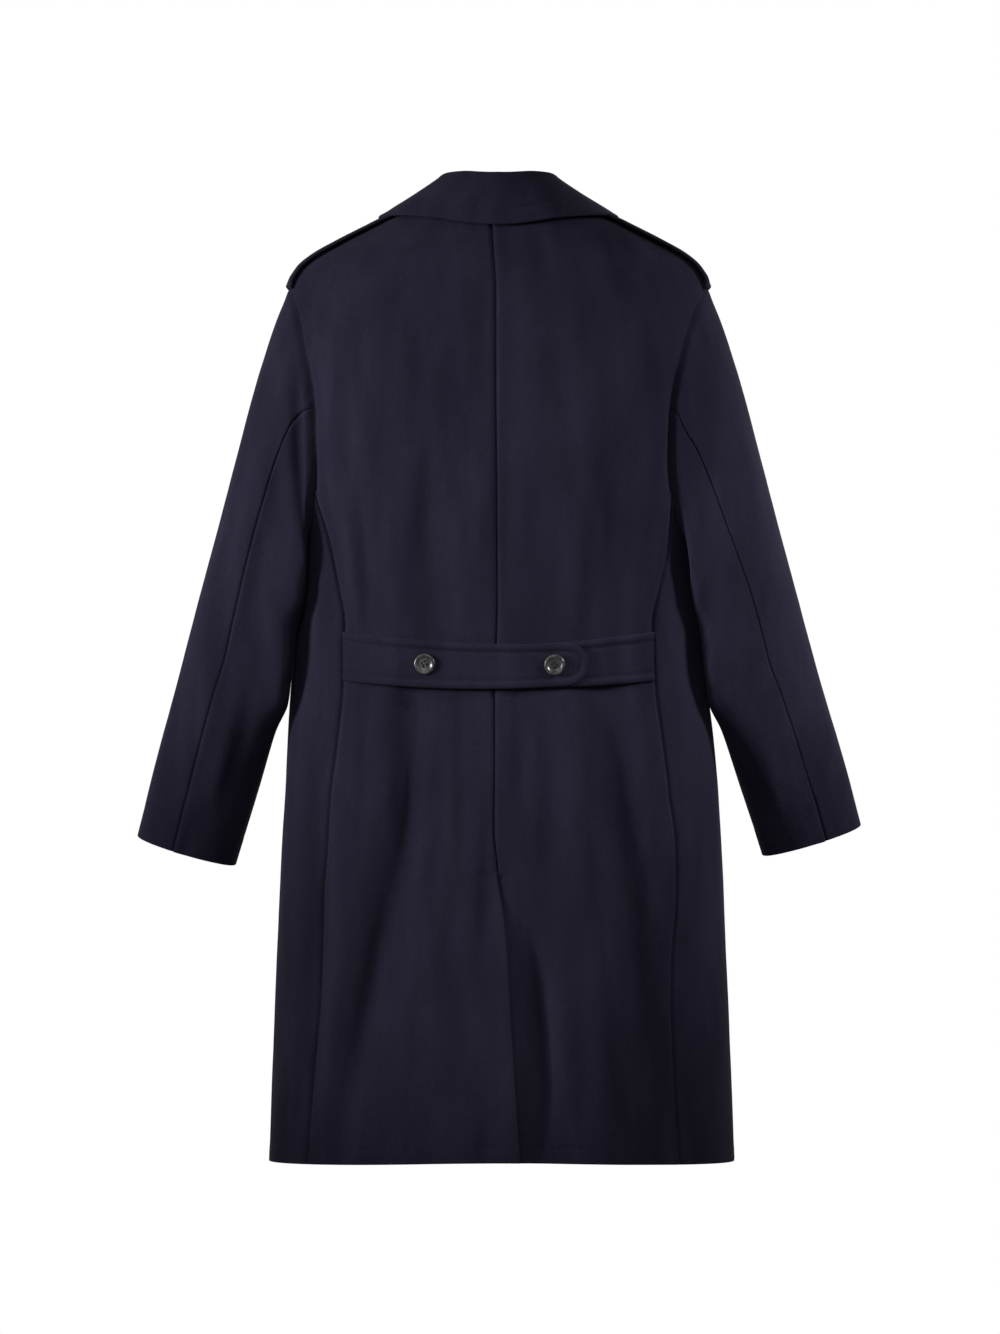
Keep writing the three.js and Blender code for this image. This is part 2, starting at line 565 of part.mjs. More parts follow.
// The fall starts over the top of the stand, rolls outwards and comes down to the coat.
function collarFallPanel() {
  const shares = [0.12, 0.28, 0.46, 0.64, 0.82, 0.93, 1];
  const rollTurns = [0, 22, 62, 100, 140, 180];
  const grid = wholeCollar((neck) => {
    const { base, step, outwards, at } = collarStand(neck);
    const along = step.clone().normalize();
    const top = base.clone().add(step).addScaledVector(outwards, -CLOTH / 2);
    const edgeAngle = degrees(at("edgeAngle"));
    const roll = rollTurns.map((turn) => {
      const out = COLLAR_ROLL * (1 - Math.cos(degrees(turn)));
      const up = 4 * SEAM_GAP + COLLAR_ROLL * Math.sin(degrees(turn));
      return top.clone().addScaledVector(along, up).addScaledVector(outwards, out);
    });
    const start = roll[roll.length - 1];
    const begin = coatPoint(degrees(neck), NECKLINE, COLLAR_LIE);
    const offset = start.clone().sub(begin);
    const fall = shares.map((share) => {
      const angle = mix(degrees(neck), edgeAngle, share);
      const lying = coatPoint(angle, mix(NECKLINE, at("edgeLevel"), share), COLLAR_LIE);
      return lying.addScaledVector(offset, (1 - share) ** COLLAR_EASE);
    });
    return [...roll, ...fall];
  });
  return wallAround(grid, DOUBLE_CLOTH);
}

// A shoulder strap lies along the shoulder seam from under the collar to the sleeve.
function strapPanel(side) {
  const steps = 11;
  const across = [-1, -0.5, 0, 0.5, 1];
  const grid = Array.from({ length: steps + 1 }, (_, i) => {
    const share = i / steps;
    const level = mix(STRAP.from, STRAP.to, share);
    const half = mix(STRAP.innerHalf, STRAP.outerHalf, share);
    return across.map((part) => {
      const y = STRAP.middle + part * half;
      const angle = Math.atan2(y, read(SECTIONS, "half", "level", level));
      return coatPoint(mirrored(angle, side), level, STRAP.lie);
    });
  });
  return wallAround(grid, STRAP.thick);
}

// A place on the belt: x across the back, part from its lower edge (-1) to its upper edge (1).
function beltPoint(x, part, half, height) {
  const sag = BELT.sag * (1 - (x / BELT.seamX) ** 2);
  const z = BELT.z - sag + part * half;
  const angle = angleAt(z, x, 1);
  return formPoint(angle, z).addScaledVector(formNormal(angle, z), height);
}

// Half the height of the upper belt piece at a distance from its rounded tip.
function overBeltHalf(toTip, length) {
  const share = clamp01(toTip / length);
  const wide = OVER_BELT;
  const nearTip = mix(wide.endHalf, wide.midHalf, share * 2);
  const nearSeam = mix(wide.midHalf, wide.seamHalf, share * 2 - 1);
  const round = 1 - clamp01(toTip / wide.endHalf);
  return (share < 0.5 ? nearTip : nearSeam) * Math.sqrt(Math.max(wide.tipShare, 1 - round * round));
}

// Side 1 is the long left piece on top. Side -1 is the piece that passes under it.
function beltPanel(side) {
  const tip = side > 0 ? -OVER_BELT.tipX : UNDER_BELT.tipX;
  const length = BELT.seamX + tip;
  const stations = [0, 1.5, 5, 10, 17, 25, 45, 70, 95, 120, 150, 180, 210, 240, length - SEAM_GAP];
  const grid = stations.map((toTip) => {
    const share = toTip / length;
    const under = mix(UNDER_BELT.endHalf, UNDER_BELT.seamHalf, share);
    const half = side > 0 ? overBeltHalf(toTip, length) : under;
    const raised = side > 0 ? smooth((length - toTip) / BELT_LIE.ramp) : 0;
    const height = mix(BELT_LIE.under, BELT_LIE.over, raised);
    return [-1, -0.5, 0, 0.5, 1].map((part) => beltPoint(side * (toTip - tip), part, half, height));
  });
  return wallAround(grid, DOUBLE_CLOTH);
}

// A point of a sleeve at a share of its length and a turn round it, as on the left side.
function sleeveRing(along, turn) {
  const at = (column) => read(SLEEVE, column, "along", along);
  const square = at("square");
  const inner = new THREE.Vector3(at("inX"), at("middle"), at("inZ"));
  const outer = new THREE.Vector3(at("outX"), at("middle"), at("outZ"));
  const centre = inner.clone().add(outer).multiplyScalar(0.5);
  const across = outer.clone().sub(centre);
  const c = Math.cos(degrees(turn));
  const s = Math.sin(degrees(turn));
  const reach = (Math.abs(c) ** square + Math.abs(s) ** square) ** (-1 / square);
  const ring = centre.addScaledVector(across, c * reach);
  ring.y += s * reach * at("depth") + at("tuck") * Math.max(0, -c * reach) ** 2;
  ring.z -= CUFF_DROP.by * s * smooth((along - CUFF_DROP.from) / (1 - CUFF_DROP.from));
  return ring;
}

// How far out the body's side is at a depth and a height.
function bodySideX(y, z) {
  const at = (column) => read(SECTIONS, column, "level", z);
  const middle = at("middle");
  const depth = y >= middle ? at("back") - middle : middle - at("front");
  const square = at("square");
  const share = Math.min(1, Math.abs(y - middle) / depth);
  return at("half") * (1 - share ** square) ** (1 / square);
}

// The sleeve starts on the armhole's edge, takes up its own rings and keeps just clear of the body.
function sleevePoint(along, turn, side) {
  const ring = sleeveRing(along, turn);
  const hole = formPoint(armholeAngle(turn, side), armholeLevel(turn));
  const sewn = Math.max(0, 1 - along / SLEEVE_CLEAR.fade) ** 2;
  ring.addScaledVector(hole.sub(sleeveRing(0, turn)), sewn);
  const clear = SLEEVE_CLEAR.seam + SLEEVE_CLEAR.body * clamp01(along / SLEEVE_CLEAR.start);
  const body = bodySideX(ring.y, ring.z) + clear;
  ring.x += SLEEVE_CLEAR.seam;
  if (along > 0 && Math.cos(degrees(turn)) < 0) ring.x = Math.max(ring.x, body);
  if (side < 0) ring.x += RIGHT_SLEEVE.swing * smooth((along - RIGHT_SLEEVE.from) / (1 - RIGHT_SLEEVE.from));
  return ring;
}

// The outward direction of a sleeve, as on the left side.
function sleeveNormal(along, turn, side) {
  const early = Math.max(0, along - SLEEVE_STEP.along);
  const late = Math.min(1, along + SLEEVE_STEP.along);
  const down = sleevePoint(late, turn, side).sub(sleevePoint(early, turn, side));
  const round = sleevePoint(along, turn + SLEEVE_STEP.turn, side).sub(
    sleevePoint(along, turn - SLEEVE_STEP.turn, side),
  );
  return down.cross(round).normalize();
}

// One panel of a sleeve: the top one from the inner front seam to the hind seam, or the other.
function sleevePanel(side, isTop) {
  const length = side > 0 ? 1 : RIGHT_SLEEVE.length;
  const alongs = [0, 0.05, 0.11, 0.18, 0.26, 0.36, 0.46, 0.56, 0.64, 0.72, 0.8, 0.88, 0.95, 1];
  const face = (inwards) =>
    alongs.map((share) => {
      const along = share * length;
      const hind = read(HIND_SEAM, side > 0 ? "left" : "right", "along", along);
      const turns = isTop ? [...TOP_TURNS, hind] : [hind, ...UNDER_TURNS];
      return turns.map((at, j) => {
        const first = j === 0 ? SLEEVE_STEP.seam : 0;
        const last = j === turns.length - 1 ? SLEEVE_STEP.seam : 0;
        const turn = at + first - last;
        const point = sleevePoint(along, turn, side);
        point.addScaledVector(sleeveNormal(along, turn, side), -inwards);
        point.x *= side;
        return point;
      });
    });
  return wallBetween(face(0), face(CLOTH));
}

// The skirt hangs a little to the wearer's right of the shoulders.
const SKIRT = { swing: -3.4, from: -500, full: -660 };

const skirtSwing = (z) => SKIRT.swing * smooth((SKIRT.from - z) / (SKIRT.from - SKIRT.full));

function swung(geometry) {
  const at = geometry.attributes.position;
  for (let i = 0; i < at.count; i++) at.setX(i, at.getX(i) + skirtSwing(at.getZ(i)));
  return geometry;
}

// A round button with a raised rim and a hollow, turned about its own axis.
function buttonGeometry(radius) {
  const t = BUTTON.thick;
  const profile = [
    [0, 0],
    [radius * 0.72, 0],
    [radius * 0.97, t * 0.45],
    [radius, t * 0.7],
    [radius * 0.93, t],
    [radius * 0.76, t * 0.96],
    [radius * 0.56, t * 0.68],
    [0, t * 0.64],
  ].map(([x, y]) => new THREE.Vector2(x, y));
  return new THREE.LatheGeometry(profile, BUTTON.sides);
}

// A button stands on a surface point and faces along its normal.
function button(name, radius, place, normal, material) {
  const mesh = new THREE.Mesh(buttonGeometry(radius), material);
  mesh.name = name;
  mesh.quaternion.setFromUnitVectors(new THREE.Vector3(0, 1, 0), normal);
  mesh.position.copy(place);
  mesh.position.x += skirtSwing(place.z);
  return mesh;
}

const wool = new THREE.MeshStandardMaterial({ color: 0x252434, roughness: 0.95, metalness: 0 });
const horn = new THREE.MeshStandardMaterial({ color: 0x3a3a3d, roughness: 0.4, metalness: 0 });

const coat = new THREE.Group();

function sew(name, geometry) {
  const mesh = new THREE.Mesh(geometry, wool);
  mesh.name = name;
  coat.add(mesh);
}

for (const [side, word] of [[1, "left"], [-1, "right"]]) {
  sew(`back_${word}`, swung(backPanel(side)));
  sew(`side_${word}`, swung(sidePanel(side)));
  sew(`front_${word}`, swung(frontPanel(side)));
  sew(`lapel_${word}`, lapelPanel(side));
  sew(`top_sleeve_${word}`, sleevePanel(side, true));
  sew(`under_sleeve_${word}`, sleevePanel(side, false));
  sew(`shoulder_strap_${word}`, strapPanel(side));
  sew(`half_belt_${word}`, swung(beltPanel(side)));
}
sew("collar_stand", collarStandPanel());
sew("collar_fall", collarFallPanel());

// Buttons of the half belt, which hold its two pieces together.
const BELT_BUTTONS = [79, -60];
BELT_BUTTONS.forEach((x, i) => {
  const place = beltPoint(x, 0, 1, BELT_LIE.over + DOUBLE_CLOTH / 2 + 2 * SEAM_GAP);
  const normal = formNormal(angleAt(BELT.z, x, 1), BELT.z);
  coat.add(button(`belt_button_${i + 1}`, BUTTON.belt, place, normal, horn));
});

// Two columns of buttons on the left front.
const FRONT_BUTTON_X = 62;
const FRONT_BUTTON_ROWS = [-402, -508, -614];
FRONT_BUTTON_ROWS.forEach((z, row) => {
  [FRONT_BUTTON_X, -FRONT_BUTTON_X].forEach((x, column) => {
    const { angle, level } = frontPlace(x, z);
    const place = onFront(1, x, z, 2 * SEAM_GAP);
    const name = `front_button_${row * 2 + column + 1}`;
    coat.add(button(name, BUTTON.front, place, formNormal(angle, level), horn));
  });
});

export default coat;
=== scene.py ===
"""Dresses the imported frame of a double-breasted wool overcoat, seen from behind.

Every panel is a thin closed wall on a grid of points. It is worked out from the same rings and
tables as the solid it stands for, with finer rows and columns, seams, creases and stitches.
Lengths are millimetres up to the mesh, which is in metres. +X is the wearer's left, +Y their back.
A point of the body is found from a level, the height of its ring at the side, and an angle round
that ring: 0 at the wearer's left side, a quarter turn at the centre back.
"""

from __future__ import annotations

import logging
import math
from collections.abc import Callable
from dataclasses import dataclass, field
from enum import Enum

import bpy
import numpy as np
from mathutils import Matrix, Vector

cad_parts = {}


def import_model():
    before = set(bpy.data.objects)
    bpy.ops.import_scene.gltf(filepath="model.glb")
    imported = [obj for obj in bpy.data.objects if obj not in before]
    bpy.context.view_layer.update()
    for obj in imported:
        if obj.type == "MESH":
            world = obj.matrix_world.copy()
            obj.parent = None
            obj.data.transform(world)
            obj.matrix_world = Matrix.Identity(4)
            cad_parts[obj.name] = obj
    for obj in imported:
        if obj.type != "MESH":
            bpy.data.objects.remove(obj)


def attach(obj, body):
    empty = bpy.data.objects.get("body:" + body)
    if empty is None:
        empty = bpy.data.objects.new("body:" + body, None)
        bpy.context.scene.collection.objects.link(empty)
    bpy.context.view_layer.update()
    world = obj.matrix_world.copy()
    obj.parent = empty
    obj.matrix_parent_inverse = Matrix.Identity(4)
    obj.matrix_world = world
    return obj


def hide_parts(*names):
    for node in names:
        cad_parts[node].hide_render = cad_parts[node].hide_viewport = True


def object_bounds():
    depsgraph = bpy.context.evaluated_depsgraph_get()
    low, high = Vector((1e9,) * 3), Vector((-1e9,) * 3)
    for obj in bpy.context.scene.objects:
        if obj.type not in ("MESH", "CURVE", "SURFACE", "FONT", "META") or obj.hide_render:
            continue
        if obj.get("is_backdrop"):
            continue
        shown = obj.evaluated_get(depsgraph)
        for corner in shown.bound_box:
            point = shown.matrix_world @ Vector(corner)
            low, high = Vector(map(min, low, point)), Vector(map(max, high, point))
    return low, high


log = logging.getLogger("coat")

MILLIMETRE = 0.001
HEM = -1061.0
NECKLINE = -3.0
CLOTH = 2.2
DOUBLE_CLOTH = 2.6
SEAM_GAP = 0.3
QUARTER = math.pi / 2


class Side(Enum):
    """The wearer's left or right, as the sign of X."""

    LEFT = 1
    RIGHT = -1

    @property
    def word(self) -> str:
        """The side's name, as the frame's nodes have it."""
        return self.name.lower()


class Slot(Enum):
    """The record's material slots."""

    WOOL = "wool"
    HORN = "horn_button"


class SleevePart(Enum):
    """The two panels of a sleeve."""

    TOP = "top_sleeve"
    UNDER = "under_sleeve"


def clamp01(value: np.ndarray | float) -> np.ndarray:
    """The value kept between 0 and 1."""
    return np.clip(value, 0.0, 1.0)


def smooth(value: np.ndarray | float) -> np.ndarray:
    """A soft step from 0 to 1."""
    held = clamp01(value)
    return held * held * (3 - 2 * held)


def mix(start: np.ndarray | float, end: np.ndarray | float, share: np.ndarray | float) -> np.ndarray:
    """The value a share of the way from start to end."""
    return start + (end - start) * share


def bell(distance: np.ndarray, width: float) -> np.ndarray:
    """1 at no distance, falling off softly over a width."""
    return np.exp(-((distance / width) ** 2))


def unit(vectors: np.ndarray) -> np.ndarray:
    """The vectors with a length of 1."""
    length = np.linalg.norm(vectors, axis=-1, keepdims=True)
    return vectors / np.maximum(length, 1e-9)


@dataclass(frozen=True)
class Table:
    """A short table with named columns."""

    columns: str
    rows: tuple[tuple[float, ...], ...]

    def column(self, name: str) -> np.ndarray:
        """The numbers of one column."""
        place = self.columns.split().index(name)
        return np.array([row[place] for row in self.rows], float)

    def with_row(self, *row: float) -> Table:
        """The same table with one more row."""
        return Table(self.columns, (*self.rows, row))

    def read(self, name: str, key: str, at: np.ndarray | float) -> np.ndarray:
        """Reads a column between rows, never past two neighbouring rows.

        Args:
            name: The column to read.
            key: The column that at is a value of.
            at: Where to read it.

        Returns:
            The value at each place.
        """
        order = np.argsort(self.column(key))
        keys = self.column(key)[order]
        values = self.column(name)[order]
        slope = np.diff(values) / np.diff(keys)
        before, after = slope[:-1], slope[1:]
        agree = before * after > 0
        harmonic = 2 * before * after / np.where(agree, before + after, 1.0)
        tangent = np.concatenate([slope[:1], np.where(agree, harmonic, 0.0), slope[-1:]])
        spot = np.clip(at, keys[0], keys[-1])
        i = np.clip(np.searchsorted(keys, spot, side="right") - 1, 0, len(keys) - 2)
        span = keys[i + 1] - keys[i]
        t = (spot - keys[i]) / span
        start = (2 * t + 1) * (1 - t) ** 2 * values[i] + t * (1 - t) ** 2 * span * tangent[i]
        end = t * t * (3 - 2 * t) * values[i + 1] + t * t * (t - 1) * span * tangent[i + 1]
        return start + end


SECTIONS = Table(
    "level half middle back backZ front frontZ square",
    (
        (-1061, 257, 0, 147, -1055, -158, -1055, 2.3),
        (-930, 252.2, 0, 143, -926, -155, -926, 2.3),
        (-800, 246.3, 0, 138, -798, -150, -799, 2.3),
        (-660, 239.2, 0, 130, -660, -144, -660, 2.35),
        (-578, 233, 0, 121, -578, -139, -578, 2.4),
        (-506, 226, 0, 115, -506, -136, -506, 2.4),
        (-440, 220, 0, 122, -440, -138, -440, 2.4),
        (-385, 217, 0, 126, -391, -139, -396, 2.45),
        (-320, 229, 0, 129, -340, -139, -350, 2.5),
        (-250, 239, 0, 131, -287, -138, -304, 2.5),
        (-180, 241, 1, 131, -238, -136, -262, 2.45),
        (-130, 236, 2, 129, -202, -133, -230, 2.3),
        (-101, 228.5, 3, 126.5, -176, -130, -210, 2.15),
        (-83, 219, 3, 122, -148, -126, -190, 2.1),
        (-71, 205, 4, 118, -124, -121, -172, 2.05),
        (-57, 180, 5, 110, -93, -112, -150, 2),
        (-37, 140, 6, 98, -59, -97, -122, 2),
        (-16, 100, 8, 84, -32, -78, -96, 2),
        (-3, 75, 8, 70, -14, -58, -75, 2),
    ),
)
RING_DIP = 1.7

# Soft troughs of the body, from top to bottom, on the back (face 1) or the front (face -1).
FOLDS = Table(
    "face top topX bottom bottomX bow width depth",
    (
        (1, -300, 84, -520, 96, 0, 19, 4.5),
        (1, -385, 172, -520, 160, 0, 11, 3.5),
        (1, -265, -128, -520, -100, 4, 20, 5),
        (1, -400, -166, -520, -158, 0, 11, 3),
        (1, -505, 98, -1085, 196, -8, 25, 10),
        (1, -505, 60, -840, 74, 0, 15, 3.5),
        (1, -660, 196, -1120, 236, 4, 20, 6.5),
        (1, -505, -104, -1100, -172, 12, 27, 11),
        (1, -505, -22, -720, -18, 0, 13, 2.5),
        (1, -640, -168, -1120, -222, 0, 17, 4.5),
        (-1, -600, 128, -1130, 152, 0, 26, 7),
        (-1, -640, -124, -1110, -164, 0, 28, 8),
        (-1, -380, 170, -640, 158, 0, 18, 3.5),
        (-1, -400, -168, -660, -156, 0, 18, 3.5),
    ),
)

# Finer creases: the face, x and z of both ends, the width, and two depths. Sink is a plain trough,
# or a ridge if it is below 0. Roll is a slope between a ridge on the wearer's left and a trough.
BODY_CREASES = Table(
    "face startX startZ endX endZ width sink roll",
    (
        (1, 176, -130, 172, -360, 16, 1.0, 5.0),
        (1, 96, -110, 104, -330, 22, 0, 5.0),
        (1, 84, -250, 76, -510, 20, 1.0, 10.5),
        (1, 158, -290, 146, -500, 11, 0, 5.5),
        (1, 196, -300, 182, -480, 12, 1.5, 6.5),
        (1, 28, -190, 30, -480, 22, 0, -4.5),
        (1, -50, -150, -80, -400, 30, 0, 3.0),
        (1, -112, -240, -116, -510, 30, 0.5, 8.0),
        (1, -168, -150, -186, -400, 15, 0.5, 2.0),
        (1, -156, -420, -170, -520, 9, 0, 1.6),
        (1, 208, -140, 187, -420, 13, 5.0, 4.5),
        (1, -200, -150, -182, -350, 9, 3.0, 3.0),
        (1, 101, -505, 116, -790, 20, 2.5, 17.0),
        (1, 108, -620, 186, -1060, 26, 4.0, 21.0),
        (1, 50, -520, 48, -860, 13, 0.5, 7.0),
        (1, 60, -690, 64, -900, 12, 0.5, 6.5),
        (1, 18, -620, 24, -850, 12, 0.5, 5.5),
        (1, 203, -620, 222, -1090, 17, 4.0, 16.0),
        (1, 146, -520, 160, -720, 8, 0, 2.5),
        (1, -16, -520, -14, -700, 12, 0, 3.4),
        (1, -42, -600, -46, -760, 12, 0, 2.4),
        (1, -104, -520, -126, -820, 28, 4.0, 17.0),
        (1, -122, -660, -156, -1075, 30, 6.0, 23.0),
        (1, -160, -510, -172, -800, 9, 0, 2.0),
        (1, -15, -750, -38, -1085, 22, 3.0, 17.0),
        (1, 5, -739.5, 39, -753, 2.6, 1.7, 0),
        (-1, 60, -180, 92, -400, 24, 1.6, 2.0),
        (-1, -60, -180, -96, -400, 22, 1.6, 2.0),
        (-1, 30, -640, 24, -960, 20, 2.2, 1.0),
        (-1, -40, -660, -52, -1000, 18, 2.0, 1.5),
        (-1, 95, -560, 104, -900, 14, -1.6, 0),
        (-1, -92, -600, -100, -940, 14, -1.6, 0),
    ),
)
SLEEVE_CREASES = Table(
    "face startX startZ endX endZ width sink roll",
    (
        (1, 227, -118, 215, -420, 10, 2.5, 6.5),
        (1, 236, -140, 228, -180, 4.5, 1.1, 0),
        (1, 247, -150, 234, -200, 6, -0.8, 0),
        (1, 226, -300, 262, -350, 12, 1.4, 0),
        (1, 232, -350, 280, -420, 14, 1.2, 0),
        (1, 262, -420, 300, -470, 15, 1.0, 0),
        (1, 300, -470, 262, -560, 14, 1.5, 0),
        (1, 252, -470, 300, -640, 16, -1.2, 0),
        (1, 296, -590, 336, -640, 13, 1.3, 0),
        (1, 330, -640, 372, -672, 10, 0.8, 0),
        (1, 306, -642, 330, -720, 11, 1.2, 0),
        (1, 236, -230, 300, -560, 15, 0, 4.5),
        (1, 262, -480, 318, -720, 14, 0, 5.5),
        (-1, 250, -160, 222, -260, 12, 1.4, 0),
        (-1, 230, -330, 290, -400, 13, 1.6, 0),
        (-1, 250, -430, 318, -470, 12, 2.2, 0),
        (-1, 246, -470, 320, -500, 10, -1.6, 0),
        (-1, 262, -520, 334, -530, 13, 1.8, 0),
        (-1, 290, -600, 350, -640, 13, 1.2, 0),
    ),
)
RIGHT_SLEEVE_CREASES = Table(
    "face startX startZ endX endZ width sink roll",
    (
        (1, 242, -140, 232, -176, 4.5, 1.3, 0),
        (1, 250, -160, 232, -240, 9, -1.0, 0),
        (1, 222, -280, 250, -330, 11, 1.2, 0),
        (1, 250, -330, 300, -430, 16, 1.3, 0),
        (1, 318, -432, 332, -500, 9, -1.6, 0),
        (1, 300, -440, 330, -540, 10, 1.3, 0),
        (1, 262, -520, 300, -600, 13, 1.2, 0),
        (1, 300, -600, 350, -650, 12, 1.2, 0),
        (1, 232, -200, 262, -420, 13, 0, -2.5),
        (1, 268, -500, 322, -720, 14, 0, -4.0),
        (-1, 252, -160, 222, -270, 12, 1.4, 0),
        (-1, 230, -320, 296, -390, 13, 1.6, 0),
        (-1, 252, -440, 320, -466, 12, 2.0, 0),
        (-1, 248, -476, 322, -506, 10, -1.5, 0),
        (-1, 266, -540, 336, -548, 13, 1.7, 0),
    ),
)


def creased(point: np.ndarray, creases: Table, back: np.ndarray) -> np.ndarray:
    """How far the cloth sinks in along straight creases.

    Args:
        point: The places.
        creases: A row for each crease.
        back: Whether each place is on the back.

    Returns:
        The depth at each place.
    """
    depth = np.zeros(point.shape[:-1])
    for face, x0, z0, x1, z1, width, sink, roll in creases.rows:
        run = np.array([x1 - x0, z1 - z0])
        aside = np.stack([point[..., 0] - x0, point[..., 2] - z0], -1)
        along = clamp01(aside @ run / (run @ run))
        across = (aside[..., 1] * run[0] - aside[..., 0] * run[1]) / np.linalg.norm(run)
        here = (back == (face > 0)) * np.sin(np.pi * along) ** 1.2 * bell(across, width)
        depth += here * (sink - roll * across / width)
    return depth


def unevenness(point: np.ndarray) -> np.ndarray:
    """The slow waviness of heavy cloth, in millimetres.

    Args:
        point: The places.

    Returns:
        How far each place stands out.
    """
    x, y, z = point[..., 0], point[..., 1], point[..., 2]
    wide = np.sin(x / 17.3 + 1.7 * np.sin(z / 71.0) + y / 29.0) * np.sin(z / 53.0 + x / 61.0)
    fine = np.sin(x / 9.1 - z / 37.0 + 1.2 * np.sin(z / 23.0)) * np.sin(z / 19.0 + y / 21.0)
    return 0.3 * wide + 0.12 * fine


def pucker(along: np.ndarray) -> np.ndarray:
    """The uneven tightness of a seam along its length, about -1 to 1."""
    return 0.6 * np.sin(along / 4.3 + 2 * np.sin(along / 31.0)) + 0.4 * np.sin(along / 2.6 + 1.3)


@dataclass(frozen=True)
class SeamLook:
    """A pressed-open seam: the edge curls in, and the allowance beneath shows as a faint band."""

    groove: float = 1.25
    groove_width: float = 1.35
    band: float = 0.3
    band_width: float = 10.5
    band_end: float = 2.6
    tight: float = 0.16

    def relief(self, distance: np.ndarray, along: np.ndarray) -> np.ndarray:
        """How far the cloth stands out beside the seam.

        Args:
            distance: How far each place is from the seam.
            along: How far along the seam it is.

        Returns:
            The relief, below 0 in the groove.
        """
        band = self.band * smooth((self.band_width - distance) / self.band_end)
        wave = self.tight * pucker(along) * bell(distance - 5, 3.5)
        return band + wave - (self.groove + self.band) * bell(distance, self.groove_width)


PRINCESS_SEAM = SeamLook(groove=2.6, groove_width=2.6)
CENTRE_SEAM = SeamLook(groove=2.3, groove_width=2.1)
ARMHOLE_SEAM = SeamLook(groove=4.2, groove_width=4.4, band=0.2, band_width=12, tight=0.3)
SLEEVE_SEAM = SeamLook(groove=1.2, groove_width=1.5, band=0.3, band_width=9)


class BodyForm:
    """The body of the coat as a closed surface of rings."""

    turn_step = 0.004
    rise_step = 1.5

    def point(self, angle: np.ndarray | float, level: np.ndarray | float) -> np.ndarray:
        """The smooth outer form, with no folds in it.

        Args:
            angle: The angle round the ring, in radians.
            level: The ring's height at the side.

        Returns:
            The points, with X, Y and Z last.
        """
        angle, level = np.broadcast_arrays(np.asarray(angle, float), np.asarray(level, float))
        across, deep = np.cos(angle), np.sin(angle)
        at = {name: SECTIONS.read(name, "level", level) for name in SECTIONS.columns.split()[1:]}
        behind = deep >= 0
        depth = np.where(behind, at["back"] - at["middle"], at["middle"] - at["front"])
        wide = np.abs(across / at["half"]) ** at["square"]
        reach = (wide + np.abs(deep / depth) ** at["square"]) ** (-1 / at["square"])
        dip = np.where(behind, at["backZ"], at["frontZ"]) - level
        height = level + dip * np.abs(deep) ** RING_DIP
        return np.stack([reach * across, at["middle"] + reach * deep, height], -1)

    def normal(self, angle: np.ndarray | float, level: np.ndarray | float) -> np.ndarray:
        """The outward direction of the form at each angle and level."""
        low = np.maximum(HEM, np.asarray(level, float) - self.rise_step)
        high = np.minimum(NECKLINE, np.asarray(level, float) + self.rise_step)
        around = self.point(angle + self.turn_step, level) - self.point(angle - self.turn_step, level)
        return unit(np.cross(around, self.point(angle, high) - self.point(angle, low)))

    def fold_depth(self, point: np.ndarray) -> np.ndarray:
        """How far the main folds sink the cloth at each place."""
        total = np.zeros(point.shape[:-1])
        back = point[..., 1] >= 0
        for face, top, top_x, bottom, bottom_x, bow, width, depth in FOLDS.rows:
            along = clamp01((point[..., 2] - top) / (bottom - top))
            centre = mix(top_x, bottom_x, along) + bow * np.sin(np.pi * along)
            shape = np.sin(np.pi * along).clip(0) ** 0.7 * bell(point[..., 0] - centre, width)
            total += (back == (face > 0)) * depth * shape
        return total

    def coat_point(
        self, angle: np.ndarray | float, level: np.ndarray | float, height: np.ndarray | float = 0.0
    ) -> np.ndarray:
        """Points at a height over the cloth, main folds included.

        Args:
            angle: The angle round the ring.
            level: The ring's height at the side.
            height: How far over the cloth.

        Returns:
            The points.
        """
        point = self.point(angle, level)
        away = height - self.fold_depth(point)
        return point + self.normal(angle, level) * np.expand_dims(away, -1)

    def angle_at(self, level: np.ndarray, x: np.ndarray | float, face: int) -> np.ndarray:
        """The angle on the back (1) or front (-1) that is x from the centre.

        Args:
            level: The ring's height at the side.
            x: The distance to the wearer's left of the centre.
            face: 1 on the back, -1 on the front.

        Returns:
            The angle at each level.
        """
        level, x = np.broadcast_arrays(np.asarray(level, float), np.asarray(x, float))
        near, far = np.zeros(level.shape), np.full(level.shape, math.pi)
        for _ in range(32):
            middle = (near + far) / 2
            wider = self.point(face * middle, level)[..., 0] > x
            near, far = np.where(wider, middle, near), np.where(wider, far, middle)
        return face * (near + far) / 2

    def front_place(self, x: np.ndarray, z: np.ndarray) -> tuple[np.ndarray, np.ndarray]:
        """The angle and level of the place on the front that is seen at x and z.

        Args:
            x: The distance to the wearer's left of the centre.
            z: The height.

        Returns:
            The angle and the level.
        """
        level, angle = np.array(z, float), np.zeros(np.shape(z))
        for _ in range(14):
            angle = self.angle_at(level, x, -1)
            level = np.minimum(NECKLINE, level + (z - self.point(angle, level)[..., 2]) * 0.8)
        return angle, level

    def side_x(self, y: np.ndarray, z: np.ndarray) -> np.ndarray:
        """How far out the body's side is at a depth and a height."""
        middle = SECTIONS.read("middle", "level", z)
        behind = SECTIONS.read("back", "level", z) - middle
        depth = np.where(y >= middle, behind, middle - SECTIONS.read("front", "level", z))
        square = SECTIONS.read("square", "level", z)
        share = np.minimum(1.0, np.abs(y - middle) / depth)
        return SECTIONS.read("half", "level", z) * (1 - share**square) ** (1 / square)


FORM = BodyForm()


